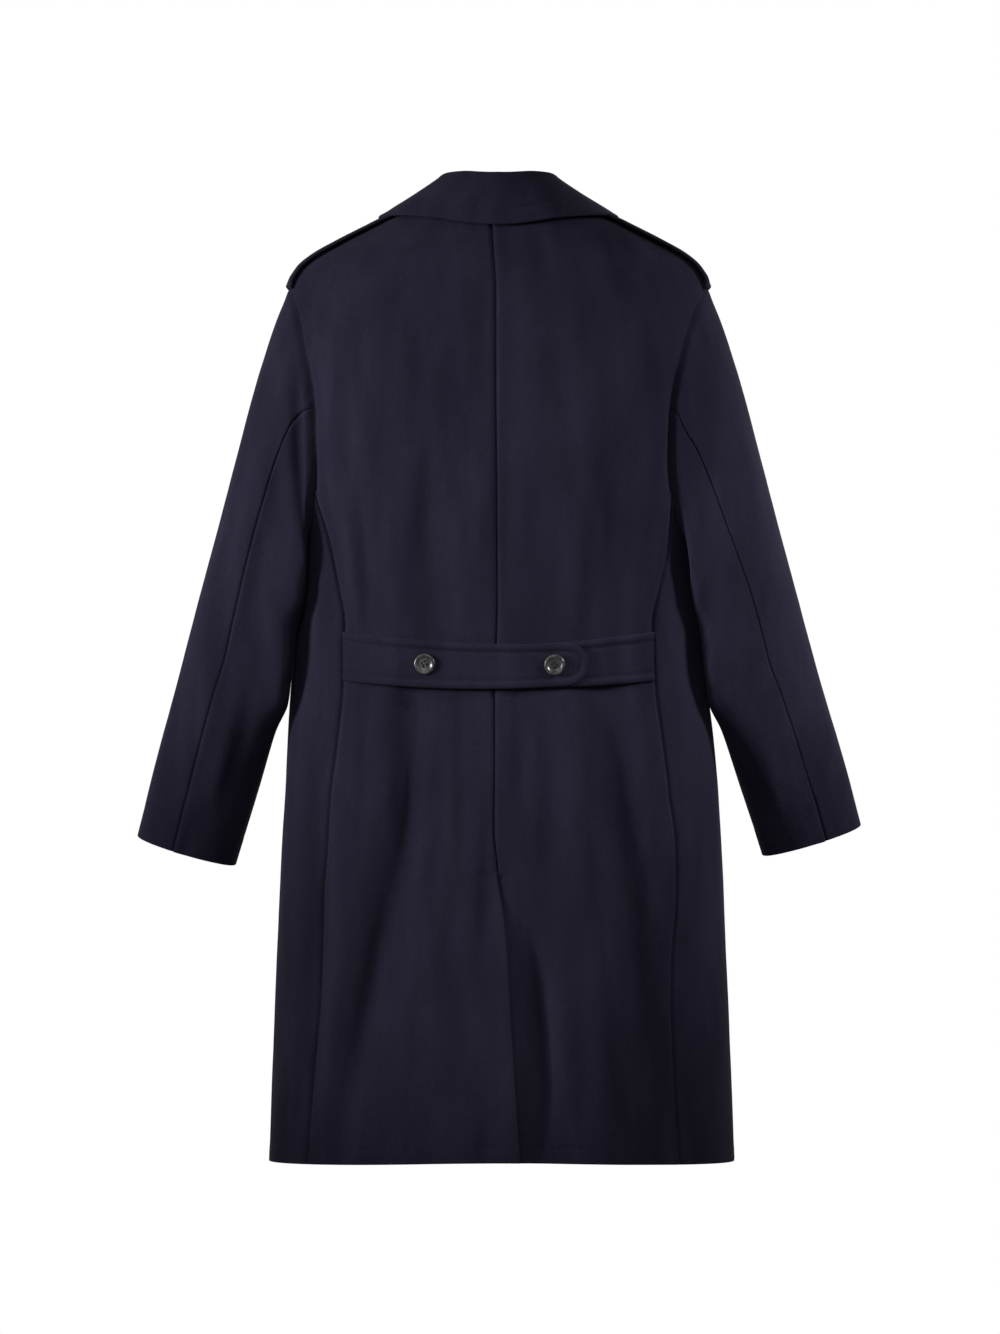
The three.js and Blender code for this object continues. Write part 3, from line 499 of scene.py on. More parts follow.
@dataclass(frozen=True)
class Armhole:
    """The oval that a sleeve is sewn into, by a turn round it: 0 at the shoulder point."""

    top: float = -101.0
    bottom: float = -385.0
    left_back: float = 22.5
    right_back: float = 26.5
    front: float = 22.0
    upper_power: float = 0.9
    lower_power: float = 0.5
    join_turn: float = 125.0
    head: float = 26.0

    def groove_share(self, level: np.ndarray | float) -> np.ndarray:
        """How much of the seam's groove there is at a level. It runs out under the strap."""
        return 1 - smooth((level - self.top + self.head) / self.head)

    def level(self, turn: np.ndarray | float) -> np.ndarray:
        """The level of the edge at a turn in degrees."""
        return (self.top + self.bottom) / 2 + (self.top - self.bottom) / 2 * np.cos(np.radians(turn))

    def angle(self, turn: np.ndarray | float, side: Side) -> np.ndarray:
        """The angle of the edge, as on the left side, at a turn in degrees."""
        around = np.sin(np.radians(turn))
        power = np.where(np.cos(np.radians(turn)) > 0, self.upper_power, self.lower_power)
        back = self.left_back if side is Side.LEFT else self.right_back
        widest = np.radians(np.where(around >= 0, back, self.front))
        return np.sign(around) * widest * np.abs(around) ** power


ARMHOLE = Armhole()


def mirrored(angle: np.ndarray | float, side: Side) -> np.ndarray | float:
    """The angle on the side itself of one that is given as on the left."""
    return angle if side is Side.LEFT else math.pi - angle


@dataclass(frozen=True)
class Skirt:
    """The skirt hangs a little to the wearer's right of the shoulders."""

    swing: float = -3.4
    start: float = -500.0
    full: float = -660.0

    def swung(self, points: np.ndarray) -> np.ndarray:
        """The points with the skirt's swing."""
        moved = points.copy()
        moved[..., 0] += self.swing * smooth((self.start - points[..., 2]) / (self.start - self.full))
        return moved


SKIRT = Skirt()


def along_rows(grid: np.ndarray) -> np.ndarray:
    """How far each point is along its row."""
    steps = np.linalg.norm(np.diff(grid, axis=1), axis=-1)
    return np.concatenate([np.zeros((grid.shape[0], 1)), np.cumsum(steps, axis=1)], axis=1)


def up_columns(grid: np.ndarray) -> np.ndarray:
    """How far each point is up its column."""
    return along_rows(grid.transpose(1, 0, 2)).T


EDGE_STEPS = (0.0, 0.45, 0.95, 1.6, 2.4, 3.5, 5.0, 7.0, 9.5, 12.5, 15.2, 17.0, 18.8)


def spread(length: float, spacing: float, near: tuple[float, ...] = EDGE_STEPS) -> np.ndarray:
    """Distances that are close together at both ends.

    Args:
        length: The whole length.
        spacing: The spacing in the middle.
        near: The distances near each end.

    Returns:
        The distances from 0 to the length.
    """
    start = np.array(near) * min(1.0, length / (2.6 * near[-1]))
    count = max(2, round((length - 2 * start[-1]) / spacing))
    middle = np.linspace(start[-1], length - start[-1], count + 1)
    return np.concatenate([start[:-1], middle, (length - start[:-1])[::-1]])


def even_columns(sample: Callable[[np.ndarray], np.ndarray], rows: int, spacing: float) -> np.ndarray:
    """Shares across each row whose points are evenly spread, and close together at both ends.

    Args:
        sample: Gives the points of all rows at a list of shares.
        rows: The number of rows.
        spacing: The spacing in the middle of the longest row.

    Returns:
        A share for each row and column.
    """
    shares = np.linspace(0, 1, 41)
    reach = along_rows(sample(np.broadcast_to(shares, (rows, len(shares)))))
    pattern = spread(reach[:, -1].max(), spacing)
    middle = len(pattern) // 2
    placed = np.empty((rows, len(pattern)))
    for i, row in enumerate(reach):
        total = row[-1]
        ends = min(1.0, total / (3 * EDGE_STEPS[-1]))
        target = pattern * 1.0
        keep = len(EDGE_STEPS) - 1
        target[: keep + 1] = pattern[: keep + 1] * ends
        target[-keep - 1 :] = total - (pattern[-1] - pattern[-keep - 1 :]) * ends
        inner = pattern[keep:-keep] - pattern[keep]
        target[keep:-keep] = mix(target[keep], target[-keep - 1], inner / inner[-1])
        placed[i] = np.interp(target, row, shares)
    assert middle > keep
    return placed


def grid_normals(grid: np.ndarray, towards: np.ndarray) -> np.ndarray:
    """The direction across a grid, turned the way that is asked for.

    Args:
        grid: The points.
        towards: A direction, or one for each point, that the normals should have.

    Returns:
        The unit normals.
    """
    up, along = np.gradient(grid, axis=0), np.gradient(grid, axis=1)
    normals = unit(np.cross(along, up))
    return normals if np.sum(normals * towards) > 0 else -normals


def rounding(distance: np.ndarray, thickness: float) -> np.ndarray:
    """How far each face draws in near a free edge, so that the edge is round.

    Args:
        distance: How far each place is from the edge.
        thickness: The wall's thickness there.

    Returns:
        How far both faces draw in.
    """
    radius = thickness / 2
    inside = np.minimum(distance / radius, 1.0)
    return 0.93 * radius * (1 - np.sqrt(1 - (1 - inside) ** 2))


@dataclass
class Finishes:
    """The materials of the whole coat."""

    wool: bpy.types.Material
    horn: bpy.types.Material
    thread: bpy.types.Material


def add_mesh(name: str, points: np.ndarray, faces: np.ndarray, material: bpy.types.Material) -> bpy.types.Object:
    """Makes one object that rides on the coat's only body.

    Args:
        name: The piece's name.
        points: Its vertices, in millimetres.
        faces: Its faces, all with the same number of corners.
        material: Its finish.

    Returns:
        The new object.
    """
    mesh = bpy.data.meshes.new(name)
    corners = faces.shape[1]
    mesh.vertices.add(len(points))
    mesh.vertices.foreach_set("co", (points * MILLIMETRE).astype(np.float32).ravel())
    mesh.loops.add(faces.size)
    mesh.loops.foreach_set("vertex_index", faces.astype(np.int32).ravel())
    mesh.polygons.add(len(faces))
    mesh.polygons.foreach_set("loop_start", np.arange(0, faces.size, corners, dtype=np.int32))
    mesh.update(calc_edges=True)
    mesh.validate()
    mesh.polygons.foreach_set("use_smooth", np.ones(len(mesh.polygons), bool))
    mesh.set_sharp_from_angle(angle=math.radians(60))
    mesh.materials.append(material)
    piece = bpy.data.objects.new(name, mesh)
    bpy.context.scene.collection.objects.link(piece)
    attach(piece, "root")
    log.info("%s: %d faces", name, len(faces))
    return piece


def volume_of(points: np.ndarray, faces: np.ndarray) -> float:
    """Six times the volume inside closed faces of four corners, below 0 if they face in."""
    a, b, c, d = (points[faces[:, k]] for k in range(4))
    first = np.einsum("ij,ij->i", a, np.cross(b, c)).sum()
    return float(first + np.einsum("ij,ij->i", a, np.cross(c, d)).sum())


def wall_between(outer: np.ndarray, inner: np.ndarray) -> tuple[np.ndarray, np.ndarray]:
    """A closed wall between two grids with the same rows and columns.

    Args:
        outer: One face's points.
        inner: The other face's points.

    Returns:
        The vertices, and faces of four corners.
    """
    rows, columns = outer.shape[:2]
    ids = np.arange(rows * columns).reshape(rows, columns)
    under = ids + rows * columns
    a, b, c, d = ids[:-1, :-1], ids[:-1, 1:], ids[1:, 1:], ids[1:, :-1]
    shift = rows * columns
    parts = [np.stack([a, b, c, d], -1).reshape(-1, 4)]
    parts.append(np.stack([a, d, c, b], -1).reshape(-1, 4) + shift)
    rims = [
        (ids[:, 0], under[:, 0]),
        (ids[-1, :], under[-1, :]),
        (ids[::-1, -1], under[::-1, -1]),
        (ids[0, ::-1], under[0, ::-1]),
    ]
    for top, bottom in rims:
        parts.append(np.stack([top[:-1], top[1:], bottom[1:], bottom[:-1]], -1))
    faces = np.concatenate(parts)
    points = np.concatenate([outer.reshape(-1, 3), inner.reshape(-1, 3)])
    return (points, faces) if volume_of(points, faces) > 0 else (points, faces[:, ::-1])


@dataclass(frozen=True)
class Cut:
    """The flat size that a cloth piece was cut to, in metres, and its area in square metres."""

    width: float
    length: float
    area: float


def add_cloth(
    node: str,
    outer: np.ndarray,
    inner: np.ndarray,
    finishes: Finishes,
) -> bpy.types.Object:
    """Args:
        node: The node that it stands for.
        outer: The points of its outer face.
        inner: The points of its inner face.
        finishes: The coat's materials.

    Returns:
        The new object.
    """
    piece = add_mesh(f"{node}_cloth", *wall_between(outer, inner), finishes.wool)
    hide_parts(node)
    return piece


@dataclass(frozen=True)
class StitchLook:
    """One run of stitches, as short threads that bite into the cloth at both ends."""

    pitch: float = 3.6
    length: float = 2.7
    radius: float = 0.26
    sunk: float = 0.05
    sides: int = 6

    def mesh(self, path: np.ndarray, normals: np.ndarray) -> tuple[np.ndarray, np.ndarray]:
        """Stitches along a path.

        Args:
            path: The points of the seam line.
            normals: The cloth's outward direction at each.

        Returns:
            The vertices, and faces of four corners.
        """
        reach = np.concatenate([[0], np.cumsum(np.linalg.norm(np.diff(path, axis=0), axis=1))])
        starts = np.arange(self.pitch / 2, reach[-1] - self.length, self.pitch)
        shares = np.array([0.0, 0.12, 0.35, 0.65, 0.88, 1.0])
        rise = np.array([-0.9, 0.1, 0.75, 0.75, 0.1, -0.9]) * self.radius - self.sunk
        thick = np.array([0.45, 0.85, 1.0, 1.0, 0.85, 0.45]) * self.radius
        turns = np.arange(self.sides) * 2 * math.pi / self.sides
        points, faces = [], []
        ring = np.arange(self.sides)
        for start in starts:
            spots = start + shares * self.length
            line = np.stack([np.interp(spots, reach, path[:, k]) for k in range(3)], -1)
            out = unit(np.stack([np.interp(spots, reach, normals[:, k]) for k in range(3)], -1))
            ahead = unit(np.gradient(line, axis=0))
            aside = unit(np.cross(ahead, out))
            line = line + out * rise[:, None]
            base = len(points) * self.sides * len(shares)
            circle = np.cos(turns)[None, :, None] * aside[:, None] + np.sin(turns)[None, :, None] * out[:, None]
            points.append((line[:, None] + circle * thick[:, None, None]).reshape(-1, 3))
            for k in range(len(shares) - 1):
                low, high = base + k * self.sides + ring, base + (k + 1) * self.sides + ring
                faces.append(np.stack([low, np.roll(low, -1), np.roll(high, -1), high], -1))
            for k, flip in ((0, 1), (len(shares) - 1, -1)):
                cap = base + k * self.sides + np.arange(self.sides)
                quads = np.array([[cap[0], cap[1], cap[2], cap[3]], [cap[0], cap[3], cap[4], cap[5]]])
                faces.append(quads[:, :: -flip])
        return np.concatenate(points), np.concatenate(faces)


STITCH = StitchLook()


def add_stitches(
    name: str,
    runs: list[tuple[np.ndarray, np.ndarray]],
    finishes: Finishes,
    look: StitchLook = STITCH,
) -> bpy.types.Object:
    """Adds runs of stitches as one piece.

    Args:
        name: The piece's name.
        runs: A path and its outward directions for each run.
        finishes: The coat's materials.
        look: The stitches' size.

    Returns:
        The new object.
    """
    points, faces, count = [], [], 0
    for path, normals in runs:
        some, quads = look.mesh(path, normals)
        faces.append(quads + count)
        points.append(some)
        count += len(some)
    piece = add_mesh(name, np.concatenate(points), np.concatenate(faces), finishes.thread)
    return piece


@dataclass
class BodyPanels:
    """The back, side and front panels, from the hem to the neck."""

    row_spacing: float = 5.2
    column_spacing: float = 5.6
    vent_top: float = -744.0
    vent_under: float = 45.0
    vent_step: float = 1.7
    vent_rise: float = 44.0
    vent_from: float = 25.0
    vent_fade: float = 50.0
    vent_flare: float = 2.5
    front_past: float = 85.0
    front_step: float = 1.6
    front_fade: float = 42.0
    break_z: float = -343.0
    neck_x: float = 60.0
    neck_z: float = 20.0
    crossing_lift: float = 6.2
    crossing_beside: float = 10.0
    crossing_blend: float = 50.0
    crossing_low: float = -386.0
    crossing_low_full: float = -346.0
    crossing_high_full: float = -132.0
    crossing_high: float = -58.0
    hem_fold: float = 17.0
    side_turn_start: float = -506.0
    back_seam: Table = Table(
        "z left right",
        (
            (-1064, 214.5, 195.5),
            (-1010, 212.5, 192.5),
            (-946, 209.3, 190.3),
            (-881, 205, 188.4),
            (-838, 203.8, 189),
            (-772, 201.7, 192.2),
            (-713, 194.1, 190.6),
            (-653, 186.5, 182.4),
            (-604, 178.3, 177.2),
            (-533, 169.5, 170.3),
            (-475, 169, 169),
            (-430, 177, 177),
            (-389, 186, 186),
        ),
    )
    front_seam: Table = Table(
        "z left right", ((-1064, 222, 222), (-800, 211, 211), (-506, 196, 196), (-400, 197, 197))
    )
    centre_back: Table = Table(
        "z x",
        (
            (-1064, -20.5),
            (-1024, -18.5),
            (-972, -15),
            (-902, -10.5),
            (-838, -7),
            (-790, -2.5),
            (-744, 5),
            (-680, 8),
            (-554, 5.2),
            (-455, 1.6),
            (-185, 3),
            (-115, 3),
            (-60, 6),
            (-14, 9),
        ),
    )
    back_cut: Cut = Cut(0.27, 1.09, 0.228)
    side_cut: Cut = Cut(0.225, 0.75, 0.139)
    front_cut: Cut = Cut(0.37, 1.08, 0.307)

    def roll_x(self, z: np.ndarray | float) -> np.ndarray:
        """Where the left front folds back, at a height. The right one is its mirror image."""
        share = (self.neck_z - z) / (self.neck_z - self.break_z)
        return np.maximum(-self.front_past, mix(self.neck_x, -self.front_past, share))

    def front_height(self, side: Side, point: np.ndarray) -> np.ndarray:
        """How far a front stands off the form, where one laps over the other.

        Args:
            side: Which front it is.
            point: The places on the form.

        Returns:
            The height at each place.
        """
        x, z = side.value * point[..., 0], point[..., 2]
        below = smooth((self.crossing_high - z) / (self.crossing_high - self.crossing_high_full))
        near = smooth((self.front_past + self.front_fade - x) / self.front_fade)
        step = self.front_step * side.value * below * near
        if side is Side.RIGHT:
            return step
        above = smooth((z - self.crossing_low) / (self.crossing_low_full - self.crossing_low))
        aside = x + self.roll_x(z) - self.crossing_beside
        return step + self.crossing_lift * above * below * (1 - smooth(aside / self.crossing_blend))

    def back_height(self, side: Side, point: np.ndarray) -> np.ndarray:
        """How far a back panel stands off the form beside the vent.

        Args:
            side: Which back panel it is.
            point: The places on the form.

        Returns:
            The height at each place.
        """
        x, z = side.value * point[..., 0], point[..., 2]
        below = smooth((self.vent_top + self.vent_rise - z) / self.vent_rise)
        near = smooth((self.vent_fade + self.vent_from - x) / self.vent_fade)
        low = clamp01((self.vent_top - z) / (self.vent_top - HEM))
        over = self.vent_step + self.vent_flare * low
        return below * near * (over if side is Side.LEFT else -self.vent_step)

    def seam_angle(self, level: np.ndarray, face: int, side: Side) -> np.ndarray:
        """The seam between a side panel and the back (face 1) or the front (face -1)."""
        join = ARMHOLE.angle(face * ARMHOLE.join_turn, side)
        join_level = ARMHOLE.level(ARMHOLE.join_turn)
        join_x = FORM.point(join, join_level)[0]
        table = (self.back_seam if face > 0 else self.front_seam).with_row(join_level, join_x, join_x)
        found = FORM.angle_at(level, table.read(side.word, "z", level), face)
        return np.where(level >= join_level, join, found)

    def lower_levels(self) -> np.ndarray:
        """Levels from the hem up to where the side seam meets the armhole."""
        top = float(ARMHOLE.level(ARMHOLE.join_turn))
        return HEM + spread(top - HEM, self.row_spacing)

    def panel_edge(self, face: int, side: Side) -> tuple[np.ndarray, np.ndarray]:
        """The outer boundary of a back or front panel, from the hem to the neck.

        Args:
            face: 1 on the back, -1 on the front.
            side: Which panel it is.

        Returns:
            The levels and the angles, as on the left side.
        """
        low = self.lower_levels()
        turns = np.arange(ARMHOLE.join_turn - 2, 1, -2.0)
        shoulder = np.linspace(ARMHOLE.top, NECKLINE, 160)
        line = FORM.point(0.0, shoulder)
        reach = np.concatenate([[0], np.cumsum(np.linalg.norm(np.diff(line, axis=0), axis=1))])
        high = np.interp(spread(reach[-1], 4.2, (0.0, 2.0, 4.2)), reach, shoulder)
        level = np.concatenate([low, ARMHOLE.level(turns), high])
        seam = self.seam_angle(low, face, side)
        hole = ARMHOLE.angle(face * turns, side)
        return level, np.concatenate([seam, hole, np.zeros(len(high))])

    def back_edge_x(self, side: Side, level: np.ndarray) -> np.ndarray:
        """The centre edge of a back panel, in its own half's mirror."""
        z = FORM.point(QUARTER, level)[..., 2]
        seam = side.value * self.centre_back.read("x", "z", z)
        if side is Side.LEFT:
            return seam
        return mix(seam, -self.vent_under, smooth((self.vent_top + 4 - level) / 16))

    def front_edge_angle(self, level: np.ndarray) -> np.ndarray:
        """The angle where a front's ring reaches its edge or, above the break, its roll line."""
        near, far = np.zeros(len(level)), np.full(len(level), math.radians(150))
        for _ in range(32):
            middle = (near + far) / 2
            point = FORM.point(-middle, level)
            wider = point[..., 0] > self.roll_x(point[..., 2])
            near, far = np.where(wider, middle, near), np.where(wider, far, middle)
        return -(near + far) / 2

    def grid(
        self, level: np.ndarray, start: np.ndarray, end: np.ndarray, side: Side
    ) -> tuple[np.ndarray, np.ndarray]:
        """Angles and levels of a panel's grid between its two edges.

        Args:
            level: The level of each row.
            start: The angle of each row's first point, as on the left side.
            end: The angle of each row's last point.
            side: Which panel it is.

        Returns:
            The angles, on the side itself, and the levels.
        """

        def sample(shares: np.ndarray) -> np.ndarray:
            """The form's points at shares across each row."""
            return FORM.point(mix(start[:, None], end[:, None], shares), level[:, None])

        shares = even_columns(sample, len(level), self.column_spacing)
        angle = mirrored(mix(start[:, None], end[:, None], shares), side)
        return angle, np.broadcast_to(level[:, None], angle.shape)

    def faces(
        self,
        angle: np.ndarray,
        level: np.ndarray,
        height: Callable[[np.ndarray], np.ndarray],
        relief: Callable[[np.ndarray], np.ndarray],
        free: Callable[[np.ndarray], np.ndarray],
    ) -> tuple[np.ndarray, np.ndarray]:
        """The outer and inner face of a panel, with its folds, creases and seams.

        Args:
            angle: The grid's angles.
            level: The grid's levels.
            height: Gives the height over the form from the form's points.
            relief: Gives the relief from the form's points.
            free: Gives the distance to the nearest free edge.

        Returns:
            Both faces' points, swung with the skirt.
        """
        form = FORM.point(angle, level)
        normal = FORM.normal(angle, level)
        back = form[..., 1] >= 0
        soft = creased(form, BODY_CREASES, back) - unevenness(form)
        away = height(form) - FORM.fold_depth(form) - soft
        drawn = rounding(free(form), CLOTH)
        out = away + relief(form) - drawn
        under = away + np.minimum(relief(form), 0) * 0.5 - CLOTH + drawn
        outer = form + normal * out[..., None]
        inner = form + normal * under[..., None]
        return SKIRT.swung(outer), SKIRT.swung(inner)

    def hem_relief(self, up: np.ndarray, x: np.ndarray) -> np.ndarray:
        """The faint uneven marks where the hem is caught by hand stitches."""
        caught = smooth(np.sin(x / 23.0 + 1.3 * np.sin(x / 61.0)) * 1.4)
        return -0.7 * caught * bell(up - self.hem_fold, 1.7) + 0.2 * smooth((self.hem_fold - up) / 4)

    def build_back(self, side: Side, finishes: Finishes) -> None:
        """Builds one back panel, with its half of the centre seam and vent."""
        level, start = self.panel_edge(1, side)
        end = FORM.angle_at(level, self.back_edge_x(side, level), 1)
        angle, levels = self.grid(level, start, end, side)
        form = FORM.point(angle, levels)
        from_seam = along_rows(form)
        from_centre = from_seam[:, -1:] - from_seam
        up = up_columns(form)
        vented = (levels <= self.vent_top + 2).astype(float)
        seam_rows = (levels < ARMHOLE.level(ARMHOLE.join_turn)).astype(float)

        def relief(form: np.ndarray) -> np.ndarray:
            """Seams at both edges, and the hem."""
            seam = PRINCESS_SEAM.relief(from_seam, up) * seam_rows
            hole = ARMHOLE_SEAM.relief(from_seam, up) * (1 - seam_rows) * ARMHOLE.groove_share(levels)
            centre = CENTRE_SEAM.relief(from_centre, up) * (1 - vented)
            return seam + hole + centre + self.hem_relief(up, form[..., 0])

        def free(form: np.ndarray) -> np.ndarray:
            """The distance to the hem or to the vent's edge."""
            return np.minimum(up, np.where(vented > 0, from_centre, 99.0))

        outer, inner = self.faces(angle, levels, lambda p: self.back_height(side, p), relief, free)
        node = f"back_{side.word}"
        add_cloth(node, outer, inner, finishes)

    def build_side(self, side: Side, finishes: Finishes) -> None:
        """Builds one side panel, under the arm."""
        join = ARMHOLE.join_turn
        turns = join + spread(360 - 2 * join, 3.2, (0.0, 0.35, 0.8, 1.4, 2.2, 3.4, 5.0))
        top_angle = ARMHOLE.angle(turns, side)
        top_level = ARMHOLE.level(turns)
        share = (top_angle[0] - top_angle) / (top_angle[0] - top_angle[-1])
        levels = self.lower_levels()
        join_level = levels[-1]
        rise = np.maximum(0, (levels - self.side_turn_start) / (join_level - self.side_turn_start))
        low = levels[:, None] + (top_level[None] - join_level) * rise[:, None]
        back = self.seam_angle(levels, 1, side)
        front = self.seam_angle(levels, -1, side)
        angle = mirrored(mix(back[:, None], front[:, None], share[None]), side)
        form = FORM.point(angle, low)
        from_back = along_rows(form)
        from_front = from_back[:, -1:] - from_back
        up = up_columns(form)
        from_top = up[-1:] - up

        def relief(form: np.ndarray) -> np.ndarray:
            """Seams at both edges and under the arm, and the hem."""
            seams = PRINCESS_SEAM.relief(from_back, up) + PRINCESS_SEAM.relief(from_front, up)
            return seams + ARMHOLE_SEAM.relief(from_top, from_back) + self.hem_relief(up, form[..., 1])

        def height(form: np.ndarray) -> np.ndarray:
            """The step of the vent behind and of the fronts before."""
            behind = form[..., 1] >= 0
            return np.where(behind, self.back_height(side, form), self.front_height(side, form))

        outer, inner = self.faces(angle, low, height, relief, lambda p: up)
        add_cloth(f"side_{side.word}", outer, inner, finishes)

    def build_front(self, side: Side, finishes: Finishes) -> None:
        """Builds one front, from its side seam to its free edge or roll line."""
        level, start = self.panel_edge(-1, side)
        angle, levels = self.grid(level, start, self.front_edge_angle(level), side)
        form = FORM.point(angle, levels)
        from_seam = along_rows(form)
        from_edge = from_seam[:, -1:] - from_seam
        up = up_columns(form)
        seam_rows = (levels < ARMHOLE.level(ARMHOLE.join_turn)).astype(float)

        def relief(form: np.ndarray) -> np.ndarray:
            """Seams at the outer edge, a pressed front edge, and the hem."""
            seam = PRINCESS_SEAM.relief(from_seam, up) * seam_rows
            hole = ARMHOLE_SEAM.relief(from_seam, up) * (1 - seam_rows) * ARMHOLE.groove_share(levels)
            return seam + hole + self.hem_relief(up, form[..., 0])

        def free(form: np.ndarray) -> np.ndarray:
            """The distance to the hem or the front edge."""
            return np.minimum(up, from_edge)

        outer, inner = self.faces(angle, levels, lambda p: self.front_height(side, p), relief, free)
        node = f"front_{side.word}"
        add_cloth(node, outer, inner, finishes)

    def on_front(self, side: Side, x: np.ndarray, z: np.ndarray, height: np.ndarray | float) -> np.ndarray:
        """Points seen at x and z on a front, at a height over its cloth.

        Args:
            side: Which front it is.
            x: The distance from the centre towards the front's own side.
            z: The height on the coat.
            height: How far over the cloth.

        Returns:
            The points.
        """
        angle, level = FORM.front_place(x, z)
        form = FORM.point(angle, level) * np.array([side.value, 1, 1])
        return FORM.coat_point(mirrored(angle, side), level, self.front_height(side, form) + height)

    def on_back(self, x: np.ndarray, z: np.ndarray, side: Side) -> tuple[np.ndarray, np.ndarray]:
        """Points and outward directions on a back panel's outer face, below the shoulder blades.

        Args:
            x: The distance to the wearer's left of the centre.
            z: The height on the coat.
            side: Which panel they are on.

        Returns:
            The points and the directions.
        """
        angle = FORM.angle_at(z, x, 1)
        form = FORM.point(angle, z)
        soft = creased(form, BODY_CREASES, form[..., 1] >= 0) - unevenness(form)
        normal = FORM.normal(angle, z)
        away = self.back_height(side, form) - FORM.fold_depth(form) - soft
        return SKIRT.swung(form + normal * away[..., None]), normal

    def build_vent_stitches(self, finishes: Finishes) -> None:
        """Adds the slanted double row of stitches that holds the vent's top."""
        runs = []
        for drop in (0.0, -2.2):
            share = np.linspace(0, 1, 24)
            runs.append(self.on_back(mix(6.0, 37.0, share), mix(-740.0, -751.5, share) + drop, Side.LEFT))
        add_stitches("vent_stitches", runs, finishes, StitchLook(pitch=3.2, length=3.1, radius=0.55))

    def build(self, finishes: Finishes) -> None:
        """Builds the six panels and their stitches."""
        for side in Side:
            self.build_back(side, finishes)
            self.build_side(side, finishes)
            self.build_front(side, finishes)
        self.build_vent_stitches(finishes)


